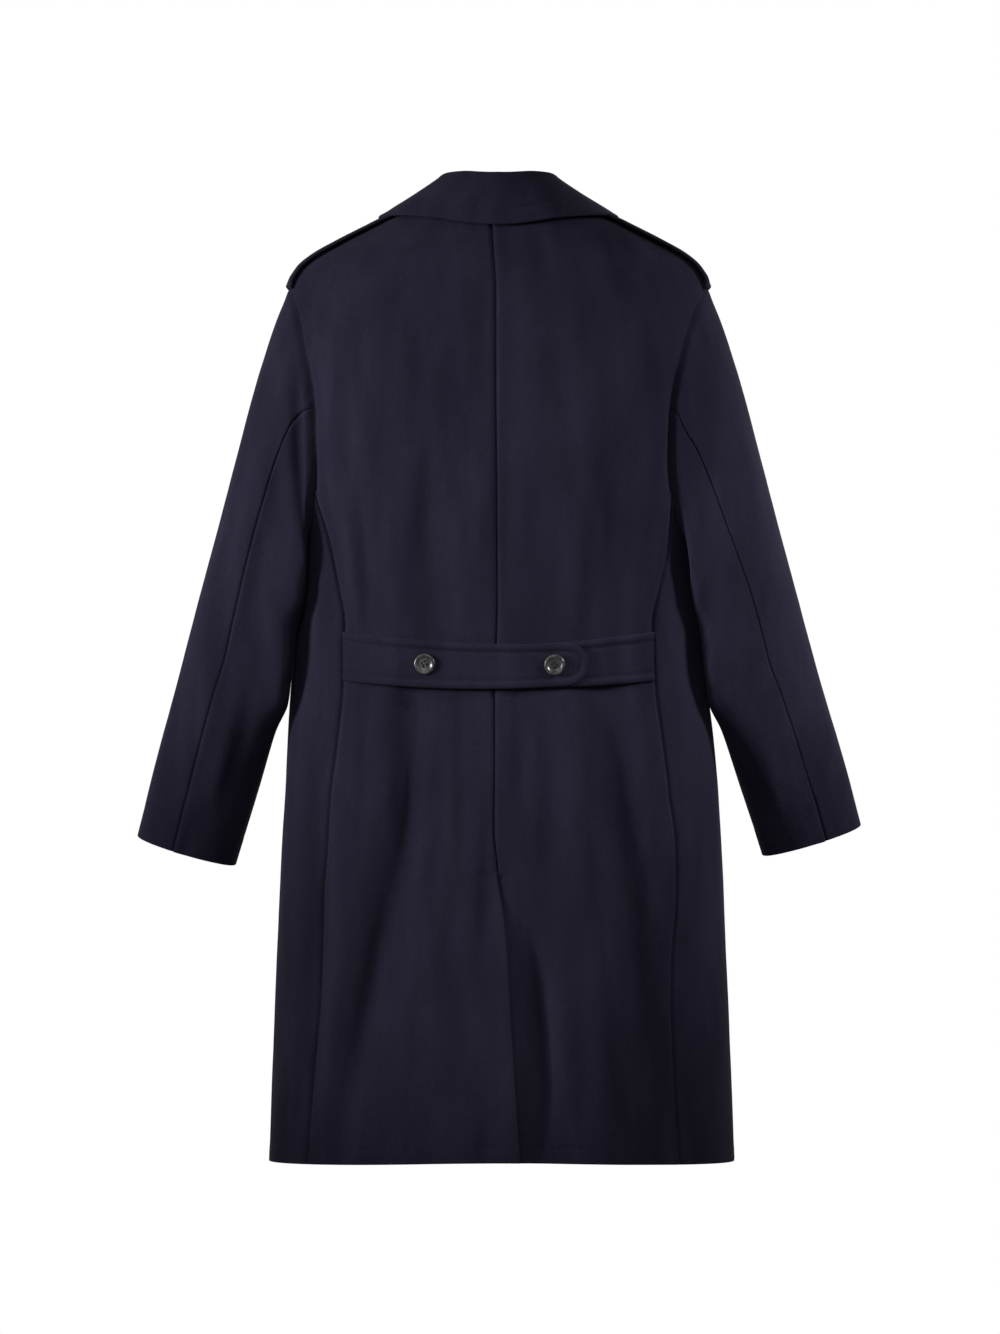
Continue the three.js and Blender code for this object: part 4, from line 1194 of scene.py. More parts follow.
@dataclass
class Sleeves:
    """The four sleeve panels."""

    along_spacing: float = 5.2
    turn_spacing: float = 1.6
    top_start: float = -110.0
    under_end: float = 250.0
    seam_turn: float = 0.15
    sewn_fade: float = 0.4
    sewn_reach: float = 8.0
    clear_seam: float = 0.8
    clear_body: float = 3.0
    clear_start: float = 0.05
    right_length: float = 0.982
    right_swing: float = 4.5
    swing_from: float = 0.62
    drop: float = 5.0
    drop_from: float = 0.8
    length: float = 640.0
    vent_length: float = 62.0
    rings: Table = Table(
        "along inX inZ outX outZ depth middle tuck square",
        (
            (0, 217, -385, 229, -101, 80, 1, 0, 2.3),
            (0.06, 215, -394, 234, -115, 81, 1, 15, 2.25),
            (0.14, 211, -405, 244, -140, 80, 1, 34, 2.2),
            (0.24, 209, -424, 261.5, -193, 79, 1, 50, 2.1),
            (0.36, 212, -448, 283, -272, 78, 1, 50, 2.1),
            (0.48, 220, -484, 305, -356, 76, 0, 36, 2.1),
            (0.6, 225.5, -532, 327, -438, 72, -3, 44, 2.2),
            (0.66, 229.5, -560, 338, -480, 69, -6, 40, 2.2),
            (0.72, 243, -588, 349, -522, 66, -9, 22, 2.2),
            (0.86, 264, -656, 374, -612, 57, -18, 0, 2.2),
            (1, 289, -737, 398, -705, 47, -30, 0, 2.2),
        ),
    )
    hind_seam: Table = Table(
        "along left right", ((0, 84, 83), (0.1, 80, 90.5), (0.3, 76, 92), (0.6, 75, 80), (1, 76, 75))
    )
    top_cut: Cut = Cut(0.25, 0.70, 0.125)
    under_cut: Cut = Cut(0.19, 0.52, 0.08)

    def ring(self, along: np.ndarray, turn: np.ndarray) -> np.ndarray:
        """A point of a sleeve at a share of its length and a turn round it, as on the left.

        Args:
            along: The share of the length.
            turn: The turn in degrees, 0 on the outer side and 90 at the back.

        Returns:
            The points.
        """
        at = {name: self.rings.read(name, "along", along) for name in self.rings.columns.split()[1:]}
        c, s = np.cos(np.radians(turn)), np.sin(np.radians(turn))
        reach = (np.abs(c) ** at["square"] + np.abs(s) ** at["square"]) ** (-1 / at["square"])
        half_x, half_z = (at["outX"] - at["inX"]) / 2, (at["outZ"] - at["inZ"]) / 2
        x = (at["outX"] + at["inX"]) / 2 + half_x * c * reach
        z = (at["outZ"] + at["inZ"]) / 2 + half_z * c * reach
        y = at["middle"] + s * reach * at["depth"] + at["tuck"] * np.maximum(0, -c * reach) ** 2
        z = z - self.drop * s * smooth((along - self.drop_from) / (1 - self.drop_from))
        return np.stack([x, y, z], -1)

    def point(self, along: np.ndarray, turn: np.ndarray, side: Side) -> np.ndarray:
        """A sleeve's surface: it starts on the armhole and keeps just clear of the body.

        Args:
            along: The share of the length.
            turn: The turn in degrees.
            side: Which sleeve it is.

        Returns:
            The points, as on the left side.
        """
        along, turn = np.broadcast_arrays(along, turn)
        hole = FORM.point(ARMHOLE.angle(turn, side), ARMHOLE.level(turn))
        sewn = np.maximum(0, 1 - along / self.sewn_fade) ** 2
        ring = self.ring(along, turn) + (hole - self.ring(np.zeros(turn.shape), turn)) * sewn[..., None]
        clear = self.clear_seam + self.clear_body * clamp01(along / self.clear_start)
        body = FORM.side_x(ring[..., 1], ring[..., 2]) + clear
        ring[..., 0] += self.clear_seam
        inner = smooth(-np.cos(np.radians(turn)) / 0.2) * (along > 0)
        short = body - ring[..., 0]
        ring[..., 0] += inner * np.maximum(0, short)
        if side is Side.RIGHT:
            ring[..., 0] += self.right_swing * smooth((along - self.swing_from) / (1 - self.swing_from))
        return ring

    def normal(self, along: np.ndarray, turn: np.ndarray, side: Side) -> np.ndarray:
        """The outward direction of a sleeve, as on the left side."""
        early, late = np.maximum(0, along - 0.02), np.minimum(1, along + 0.02)
        down = self.point(late, turn, side) - self.point(early, turn, side)
        around = self.point(along, turn + 2, side) - self.point(along, turn - 2, side)
        return unit(np.cross(down, around))

    def armhole_edge(self, turn: np.ndarray, side: Side) -> np.ndarray:
        """The body's own edge along the armhole seam, as on the left side.

        Args:
            turn: The turn round the armhole in degrees.
            side: Which armhole it is.

        Returns:
            The points on the body's outer face, in the seam's groove.
        """
        angle = ARMHOLE.angle(turn, side)
        level = ARMHOLE.level(turn)
        flip = np.array([side.value, 1, 1])
        form = FORM.point(angle, level) * flip
        soft = creased(form, BODY_CREASES, form[..., 1] >= 0) - unevenness(form)
        groove = ARMHOLE_SEAM.relief(np.zeros(turn.shape), turn) * ARMHOLE.groove_share(level)
        away = groove - FORM.fold_depth(form) - soft
        return form * flip + FORM.normal(angle, level) * away[..., None]

    def build_panel(self, side: Side, part: SleevePart, finishes: Finishes) -> None:
        """Builds one panel of one sleeve.

        Args:
            side: Which sleeve it is.
            part: Which of its panels.
            finishes: The coat's materials.
        """
        length = 1.0 if side is Side.LEFT else self.right_length
        reach = spread(self.length, self.along_spacing)
        along = reach / reach[-1] * length
        hind = self.hind_seam.read(side.word, "along", along)
        is_top = part is SleevePart.TOP
        start = np.full(len(along), self.top_start) if is_top else hind
        end = hind if is_top else np.full(len(along), self.under_end)
        start, end = start + self.seam_turn, end - self.seam_turn

        def sample(shares: np.ndarray) -> np.ndarray:
            """The sleeve's points at shares across each row."""
            return self.point(along[:, None], mix(start[:, None], end[:, None], shares), side)

        shares = even_columns(sample, len(along), 5.0)
        turn = mix(start[:, None], end[:, None], shares)
        alongs = np.broadcast_to(along[:, None], turn.shape)
        point, normal = self.point(alongs, turn, side), self.normal(alongs, turn, side)
        across = along_rows(point)
        down = up_columns(point)
        from_first, from_last = across, across[:, -1:] - across
        from_hind = from_last if is_top else from_first
        from_front = from_first if is_top else from_last
        to_cuff = down[-1:] - down
        creases = SLEEVE_CREASES if side is Side.LEFT else RIGHT_SLEEVE_CREASES
        behind = normal[..., 1] >= 0
        facing = np.abs(normal[..., 1])
        soft = creased(point, creases, behind) * facing - 0.8 * unevenness(point * 1.13)
        vent = smooth((self.vent_length - to_cuff) / 6) * smooth((16 - from_hind) / 12)
        ledge = (-0.35 if is_top else 1.0) * vent
        seams = SLEEVE_SEAM.relief(from_hind, down) + SLEEVE_SEAM.relief(from_front, down)
        seams = seams + ARMHOLE_SEAM.relief(down, across * 0.9) * ARMHOLE.groove_share(ARMHOLE.level(turn))
        bar = -0.5 * bell(to_cuff - self.vent_length, 1.4) * smooth((26 - from_hind) / 4)
        bar = bar if part is SleevePart.UNDER else np.zeros(bar.shape)
        hem = -0.25 * bell(to_cuff - 34, 2.0) * smooth(np.sin(across / 13.0))
        drawn = rounding(to_cuff, CLOTH)
        away = seams + ledge + bar + hem - soft
        outer = point + normal * (away - drawn)[..., None]
        under = -soft + 0.5 * np.minimum(seams, 0) + ledge - CLOTH + drawn
        inner = point + normal * under[..., None]
        shift = (self.armhole_edge(turn[0], side) - outer[0]) * (1 - smooth(down / self.sewn_reach))[..., None]
        outer, inner = outer + shift, inner + shift
        flip = np.array([side.value, 1, 1])
        add_cloth(f"{part.value}_{side.word}", outer * flip, inner * flip, finishes)

    def build(self, finishes: Finishes) -> None:
        """Builds both panels of both sleeves."""
        for side in Side:
            for part in SleevePart:
                self.build_panel(side, part, finishes)


@dataclass
class Lapels:
    """The two lapels, which roll off the fronts' edges and lie back over them."""

    panels: BodyPanels
    gap: float = 2.8
    tip_x: float = 134.0
    tip_z: float = -92.0
    belly_x: float = 10.8
    belly_z: float = -4.2
    start_below: float = 6.0
    end_share: float = 0.985
    gorge_dip: float = 6.0
    gorge_middle: float = 0.55
    gorge_share: float = 0.2
    rows: int = 84
    cut: Cut = Cut(0.11, 0.37, 0.0245)

    def edge(self, share: np.ndarray) -> tuple[np.ndarray, np.ndarray]:
        """The lapel's outer edge, from the gorge to just short of the break."""
        bend = np.sin(np.pi * share)
        down = share * self.end_share
        x = mix(self.tip_x, self.panels.roll_x(self.panels.break_z), down) + bend * self.belly_x
        return x, mix(self.tip_z, self.panels.break_z, down) + bend * self.belly_z

    def build_lapel(self, side: Side, finishes: Finishes) -> None:
        """Builds one lapel.

        Args:
            side: Which front it belongs to.
            finishes: The coat's materials.
        """
        panels = self.panels
        top = FORM.point(panels.front_edge_angle(np.array([NECKLINE])), NECKLINE)[0, 2]
        radius = (self.gap + DOUBLE_CLOTH) / 2
        run = panels.neck_x + panels.front_past
        drop = panels.neck_z - panels.break_z
        away_x, away_z = -drop / math.hypot(run, drop), run / math.hypot(run, drop)
        share = spread(1.0, 1 / self.rows, (0.0, 0.0015, 0.004, 0.008, 0.014))[:, None]
        z = mix(top, panels.break_z + self.start_below, share)
        x = panels.roll_x(z)
        edge_x, edge_z = self.edge(share)
        turns = np.radians(np.array([0, 20, 40, 60, 80, 100, 120, 140, 160, 174]))[None]
        out = 3 * SEAM_GAP + radius * np.sin(turns)
        roll_x, roll_z = x + out * away_x, z + out * away_z
        roll_height = radius * (1 - np.cos(turns)) - CLOTH / 2 + 0 * roll_x
        part = np.concatenate([np.linspace(0.05, 0.93, 24), [0.955, 0.972, 0.984, 0.992, 1.0]])[None]
        near = 1 - np.abs(part - self.gorge_middle) / self.gorge_middle
        dip = self.gorge_dip * near * (1 - smooth(share / self.gorge_share))
        lie_x, lie_z = mix(x, edge_x, part), mix(z, edge_z, part) - dip
        lie_height = np.full(lie_x.shape, 2 * radius - CLOTH / 2)
        place_x, place_z = np.hstack([roll_x, lie_x]), np.hstack([roll_z, lie_z])
        grid = panels.on_front(side, place_x, place_z, np.hstack([roll_height, lie_height]))
        normals = grid_normals(grid, np.zeros(3))
        lying = normals[:, -6:].reshape(-1, 3).mean(axis=0)
        normals = normals if lying[1] < 0 else -normals
        across = along_rows(grid)
        down = up_columns(grid)
        edge = np.minimum(across[:, -1:] - across, np.minimum(down, down[-1:] - down))
        groove = -0.35 * bell(edge - 6.5, 0.8) * (across > 12)
        drawn = rounding(edge, DOUBLE_CLOTH)
        outer = grid + normals * (DOUBLE_CLOTH / 2 - drawn + groove)[..., None]
        inner = grid - normals * (DOUBLE_CLOTH / 2 - drawn)[..., None]
        node = f"lapel_{side.word}"
        add_cloth(node, outer, inner, finishes)

    def build(self, finishes: Finishes) -> None:
        """Builds both lapels."""
        for side in Side:
            self.build_lapel(side, finishes)


@dataclass
class Collar:
    """The collar: a stand on the neckline and a fall that rolls over it."""

    lie: float = 6.5
    roll: float = 2.9
    stand_start: float = 0.7
    ease: float = 1.15
    last_neck: float = -61.0
    stations: int = 64
    crease_up: float = 19.0
    table: Table = Table(
        "neck rise lean edgeAngle edgeLevel",
        (
            (90, 30, 5, 90, -23),
            (60, 29, 7, 55, -23),
            (30, 24, 10, 26, -26),
            (0, 17, 13, 0, -31),
            (-25, 14, 9, -16, -33),
            (-45, 6.5, 4, -26, -34),
            (-62, 1.5, 0.6, -31, -34),
        ),
    )
    stand_cut: Cut = Cut(0.034, 0.37, 0.0078)
    fall_cut: Cut = Cut(0.085, 0.56, 0.035)

    def base(self, neck: np.ndarray) -> tuple[np.ndarray, np.ndarray, np.ndarray]:
        """The neckline point, the step up to the fold, and the way outwards.

        Args:
            neck: The angle round the neckline in degrees.

        Returns:
            The points, the steps and the unit directions.
        """
        base = FORM.point(np.radians(neck), NECKLINE)
        centre = FORM.point(0.0, NECKLINE)[1]
        inwards = np.stack([-base[..., 0], centre - base[..., 1], np.zeros(neck.shape)], -1)
        step = unit(inwards) * self.table.read("lean", "neck", neck)[..., None]
        step[..., 2] = self.table.read("rise", "neck", neck)
        return base, step, -unit(inwards)

    def whole(self, left: np.ndarray) -> np.ndarray:
        """The left half's grid carried round to the right half."""
        right = left[1:][::-1] * np.array([-1, 1, 1])
        return np.concatenate([right, left])

    def neck_angles(self) -> np.ndarray:
        """Angles from the centre back round to the collar's front end."""
        reach = spread(1.0, 1 / self.stations, (0.0, 0.003, 0.008, 0.015))
        even = np.linspace(0, 1, self.stations + 1)
        shares = np.concatenate([even[: self.stations // 2], reach[reach >= 0.5]])
        return mix(90.0, self.last_neck, shares)

    def build_stand(self, finishes: Finishes) -> None:
        """Builds the stand."""
        neck = self.neck_angles()
        base, step, outwards = self.base(neck)
        tall = np.linalg.norm(step, axis=-1)
        share = np.linspace(0.06, 1, 16)[None]
        lift = mix(self.stand_start, tall[:, None] - SEAM_GAP / 2, share)
        middle = base[:, None] + unit(step)[:, None] * lift[..., None] - outwards[:, None] * CLOTH / 2
        grid = self.whole(middle)
        away = np.zeros(grid.shape) + grid - np.array([0, 8, 0])
        away[..., 2] = 0
        normals = grid_normals(grid, away)
        outer, inner = grid + normals * CLOTH / 2, grid - normals * CLOTH / 2
        add_cloth("collar_stand", outer, inner, finishes)

    def build_fall(self, finishes: Finishes) -> None:
        """Builds the fall, from over the top of the stand down to its free edge."""
        neck = self.neck_angles()
        base, step, outwards = self.base(neck)
        top = base + step - outwards * CLOTH / 2
        turns = np.radians(np.linspace(0, 180, 15))
        out = self.roll * (1 - np.cos(turns))
        up = 4 * SEAM_GAP + self.roll * np.sin(turns)
        rolled = top[:, None] + unit(step)[:, None] * up[:, None] + outwards[:, None] * out[:, None]
        share = np.concatenate([np.linspace(0.04, 0.94, 30), [0.957, 0.97, 0.981, 0.99, 0.996, 1.0]])
        begin = FORM.coat_point(np.radians(neck), NECKLINE, self.lie)
        offset = rolled[:, -1] - begin
        edge_angle = np.radians(self.table.read("edgeAngle", "neck", neck))
        edge_level = self.table.read("edgeLevel", "neck", neck)
        angle = mix(np.radians(neck)[:, None], edge_angle[:, None], share)
        level = mix(NECKLINE, edge_level[:, None], share)
        lying = FORM.coat_point(angle, level, self.lie)
        lying = lying + offset[:, None] * ((1 - share) ** self.ease)[:, None]
        grid = self.whole(np.concatenate([rolled, lying], axis=1))
        normals = grid_normals(grid, np.zeros(3))
        hanging = normals[len(grid) // 2, -8:].mean(axis=0)
        normals = normals if hanging[1] > 0 else -normals
        across = along_rows(grid)
        from_edge = across[:, -1:] - across
        round_neck = up_columns(grid)
        ends = np.minimum(round_neck, round_neck[-1:] - round_neck)
        x, back = grid[..., 0], grid[..., 1] > 0
        crease = bell(from_edge - self.crease_up - 0.02 * np.abs(x), 1.8) * back
        crease = -2.0 * crease * smooth((56 - np.abs(x + 4)) / 24)
        soft = 0.5 * np.sin(x / 21 + 1.1) * bell(from_edge - 26, 16) + 0.3 * np.sin(x / 11.0) * bell(from_edge - 12, 9)
        edge_line = 0.25 * bell(from_edge - 3.0, 2.4)
        drawn = rounding(np.minimum(from_edge, ends), DOUBLE_CLOTH)
        outer = grid + normals * (DOUBLE_CLOTH / 2 - drawn + crease + (soft + edge_line) * back)[..., None]
        inner = grid - normals * (DOUBLE_CLOTH / 2 - drawn - soft * back)[..., None]
        add_cloth("collar_fall", outer, inner, finishes)

    def build(self, finishes: Finishes) -> None:
        """Builds the stand and the fall."""
        self.build_stand(finishes)
        self.build_fall(finishes)


@dataclass
class ShoulderStraps:
    """The straps, which lie along the shoulder seams from under the collar to the sleeves."""

    start: float = -9.0
    end: float = -103.5
    inner_half: float = 20.0
    outer_half: float = 26.0
    lie: float = 2.4
    lift: dict[Side, float] = field(default_factory=lambda: {Side.LEFT: 3.2, Side.RIGHT: 4.8})
    end_lift: float = 1.2
    thick: float = 3.2
    middle: float = 5.0
    stitch_in: float = 6.5
    cut: Cut = Cut(0.055, 0.185, 0.0088)

    def place(self, share: np.ndarray, part: np.ndarray, side: Side, height: float) -> np.ndarray:
        """A place on the strap, whose back edge stands off the shoulder.

        Args:
            share: From its end under the collar (0) to its end at the sleeve (1).
            part: From its front edge (-1) to its back edge (1).
            side: Which strap it is.
            height: How far over the cloth.

        Returns:
            The points.
        """
        level = mix(self.start, self.end, share)
        y = self.middle + part * mix(self.inner_half, self.outer_half, share)
        angle = np.arctan2(y, SECTIONS.read("half", "level", level))
        held = smooth(share / 0.3) * smooth((1 - share) / 0.12)
        raised = self.lift[side] * smooth((part + 0.2) / 1.2) * held + self.end_lift * smooth((share - 0.8) / 0.2)
        return FORM.coat_point(mirrored(angle, side), level, height + raised)

    def build_strap(self, side: Side, finishes: Finishes) -> None:
        """Builds one strap and its stitches."""
        line = np.linspace(0, 1, 200)
        spine = self.place(line, np.zeros(200), side, self.lie)
        reach = along_rows(spine[None])[0]
        share = np.interp(spread(reach[-1], 3.4), reach, line)[:, None]
        half = mix(self.inner_half, self.outer_half, share)
        inward = np.array([0.0, 0.5, 1.1, 1.8, 2.8, 4.2, 5.6, 6.5, 7.4, 8.8, 12.0, 16.0])
        edges = 1 - inward / half
        part = np.hstack([-edges, np.zeros((len(share), 1)), edges[:, ::-1]])
        grid = self.place(share, part, side, self.lie)
        normals = grid_normals(grid, np.array([0, 0, 1.0]))
        from_edge = half * (1 - np.abs(part))
        down = up_columns(grid)
        ends = np.minimum(down, down[-1:] - down)
        puff = 0.5 * bell(from_edge - 3.2, 2.2) - 0.35 * bell(from_edge - self.stitch_in, 0.8)
        drawn = rounding(np.minimum(from_edge, ends), self.thick)
        outer = grid + normals * (self.thick / 2 - drawn + puff)[..., None]
        inner = grid - normals * (self.thick / 2 - drawn)[..., None]
        node = f"shoulder_strap_{side.word}"
        add_cloth(node, outer, inner, finishes)
        runs = []
        for edge in (-1, 1):
            parts = edge * (1 - self.stitch_in / half[:, 0])
            line = self.place(share[:, 0], parts, side, self.lie + self.thick / 2 - 0.25)
            runs.append((line, normals[:, 0 if edge < 0 else -1]))
        add_stitches(f"strap_stitches_{side.word}", runs, finishes)

    def build(self, finishes: Finishes) -> None:
        """Builds both straps."""
        for side in Side:
            self.build_strap(side, finishes)


@dataclass
class HalfBelt:
    """The half belt: a long left piece that laps over a right one, with two buttons."""

    z: float = -507.5
    sag: float = 11.0
    seam_x: float = 168.0
    over_tip_x: float = -97.0
    over_halves: tuple[float, float, float] = (23.5, 25.5, 27.0)
    tip_share: float = 0.02
    under_tip_x: float = 104.0
    under_halves: tuple[float, float] = (20.5, 27.0)
    lie_under: float = 2.5
    lie_over: float = 6.0
    ramp: float = 34.0
    stitch_in: float = 9.6
    button_x: tuple[float, float] = (79.0, -60.0)
    over_cut: Cut = Cut(0.056, 0.275, 0.0140)
    under_cut: Cut = Cut(0.052, 0.285, 0.0135)

    def place(self, x: np.ndarray, part: np.ndarray, half: np.ndarray, height: np.ndarray) -> np.ndarray:
        """A place on the belt.

        Args:
            x: The distance to the wearer's left of the centre.
            part: From its lower edge (-1) to its upper edge (1).
            half: Half the belt's height there.
            height: How far over the form.

        Returns:
            The points.
        """
        sag = self.sag * (1 - (x / self.seam_x) ** 2)
        z = self.z - sag + part * half
        angle = FORM.angle_at(z, x, 1)
        return FORM.point(angle, z) + FORM.normal(angle, z) * np.expand_dims(height, -1)

    def over_half(self, to_tip: np.ndarray, length: float) -> np.ndarray:
        """Half the height of the upper piece at a distance from its rounded tip."""
        end, middle, seam = self.over_halves
        share = clamp01(to_tip / length)
        straight = np.where(share < 0.5, mix(end, middle, share * 2), mix(middle, seam, share * 2 - 1))
        bend = 1 - clamp01(to_tip / end)
        return straight * np.sqrt(np.maximum(self.tip_share, 1 - bend * bend))

    def build_over(self, finishes: Finishes) -> None:
        """Builds the long left piece, with its rounded tip and topstitching."""
        tip = -self.over_tip_x
        length = self.seam_x + tip
        near = np.array([0.0, 0.3, 0.8, 1.5, 2.5, 3.8, 5.3, 7.0, 9.0, 11.0, 13.5, 16.5, 20.0])
        to_tip = np.concatenate([near, np.linspace(23.5, length - SEAM_GAP, 78)])[:, None]
        part = np.sin(np.linspace(-1, 1, 41) * QUARTER)[None] * 0.35 + np.linspace(-1, 1, 41)[None] * 0.65
        half = self.over_half(to_tip, length)
        raised = smooth((length - to_tip) / self.ramp)
        height = mix(self.lie_under, self.lie_over, raised) + 0 * part
        x = to_tip - tip + 0 * part
        grid = self.place(x, part + 0 * x, half + 0 * x, height)
        normals = grid_normals(grid, np.array([0, 1.0, 0]))
        end = self.over_halves[0]
        round_tip = end - np.hypot(np.minimum(0, to_tip - end), part * half)
        from_edge = np.where(to_tip < end, round_tip, half * (1 - np.abs(part))).clip(0)
        piece = self.relief(from_edge, x)
        drawn = rounding(from_edge, DOUBLE_CLOTH)
        outer = grid + normals * (DOUBLE_CLOTH / 2 - drawn + piece)[..., None]
        inner = grid - normals * (DOUBLE_CLOTH / 2 - drawn)[..., None]
        add_cloth("half_belt_left", SKIRT.swung(outer), SKIRT.swung(inner), finishes)
        self.build_over_stitches(length, tip, finishes)

    def relief(self, from_edge: np.ndarray, x: np.ndarray) -> np.ndarray:
        """The padded ridge at a belt's edge and the furrow of its topstitching."""
        puff = 1.25 * bell(from_edge - 4.4, 3.2)
        furrow = -1.0 * bell(from_edge - self.stitch_in, 1.7)
        tight = 0.12 * pucker(x) * bell(from_edge - self.stitch_in, 5)
        return puff + furrow + tight

    def build_over_stitches(self, length: float, tip: float, finishes: Finishes) -> None:
        """Adds the topstitching round the long piece."""
        end = self.over_halves[0]
        radius = end - self.stitch_in
        straight = np.linspace(length - 3, end, 90)
        arc = np.linspace(-QUARTER, QUARTER, 60)
        half = self.over_half(straight, length)
        low = -(half - self.stitch_in)
        to_tip = np.concatenate([straight, end - radius * np.cos(arc), straight[::-1]])
        rise = np.concatenate([low, radius * np.sin(arc), -low[::-1]])
        raised = smooth((length - to_tip) / self.ramp)
        height = mix(self.lie_under, self.lie_over, raised) + DOUBLE_CLOTH / 2 - 0.35
        x = to_tip - tip
        line = SKIRT.swung(self.place(x, rise, np.ones(len(x)), height))
        outward = np.broadcast_to(FORM.normal(FORM.angle_at(np.full(len(x), self.z), x, 1), self.z), line.shape)
        add_stitches("half_belt_stitches_left", [(line, outward)], finishes)

    def build_under(self, finishes: Finishes) -> None:
        """Builds the right piece, which passes under the left one."""
        tip = self.under_tip_x
        length = self.seam_x + tip
        to_tip = spread(length - SEAM_GAP, 3.4)[:, None]
        part = np.sin(np.linspace(-1, 1, 37) * QUARTER)[None] * 0.35 + np.linspace(-1, 1, 37)[None] * 0.65
        half = mix(*self.under_halves, to_tip / length)
        x = -(to_tip - tip) + 0 * part
        grid = self.place(x, part + 0 * x, half + 0 * x, np.full(x.shape, self.lie_under))
        normals = grid_normals(grid, np.array([0, 1.0, 0]))
        from_edge = np.minimum(half * (1 - np.abs(part)), to_tip)
        piece = self.relief(half * (1 - np.abs(part)), x) * smooth((-60 - x) / 20)
        drawn = rounding(from_edge, DOUBLE_CLOTH)
        outer = grid + normals * (DOUBLE_CLOTH / 2 - drawn + piece)[..., None]
        inner = grid - normals * (DOUBLE_CLOTH / 2 - drawn)[..., None]
        add_cloth("half_belt_right", SKIRT.swung(outer), SKIRT.swung(inner), finishes)
        runs = []
        shown = np.linspace(self.seam_x - 3, 92, 60)
        halves = mix(*self.under_halves, (shown + tip) / length)
        for edge in (-1, 1):
            rise = edge * (halves - self.stitch_in)
            height = np.full(60, self.lie_under + DOUBLE_CLOTH / 2 - 0.35)
            line = SKIRT.swung(self.place(-shown, rise, np.ones(60), height))
            outward = FORM.normal(FORM.angle_at(np.full(60, self.z), -shown, 1), self.z)
            runs.append((line, outward))
        add_stitches("half_belt_stitches_right", runs, finishes)

    def build_buttonholes(self, finishes: Finishes) -> None:
        """Adds the worked buttonhole beside each belt button."""
        runs = []
        height = self.lie_over + DOUBLE_CLOTH / 2 + 0.05
        for centre in self.button_x:
            for rise in (-0.55, 0.55):
                x = np.linspace(centre + 20, centre + 6, 20)
                line = self.place(x, np.full(20, rise), np.ones(20), np.full(20, height))
                outward = FORM.normal(FORM.angle_at(np.full(20, self.z), x, 1), self.z)
                runs.append((SKIRT.swung(line), outward))
        look = StitchLook(pitch=1.1, length=1.3, radius=0.34)
        add_stitches("belt_buttonholes", runs, finishes, look)

    def build(self, finishes: Finishes) -> None:
        """Builds both pieces of the belt."""
        self.build_over(finishes)
        self.build_under(finishes)
        self.build_buttonholes(finishes)


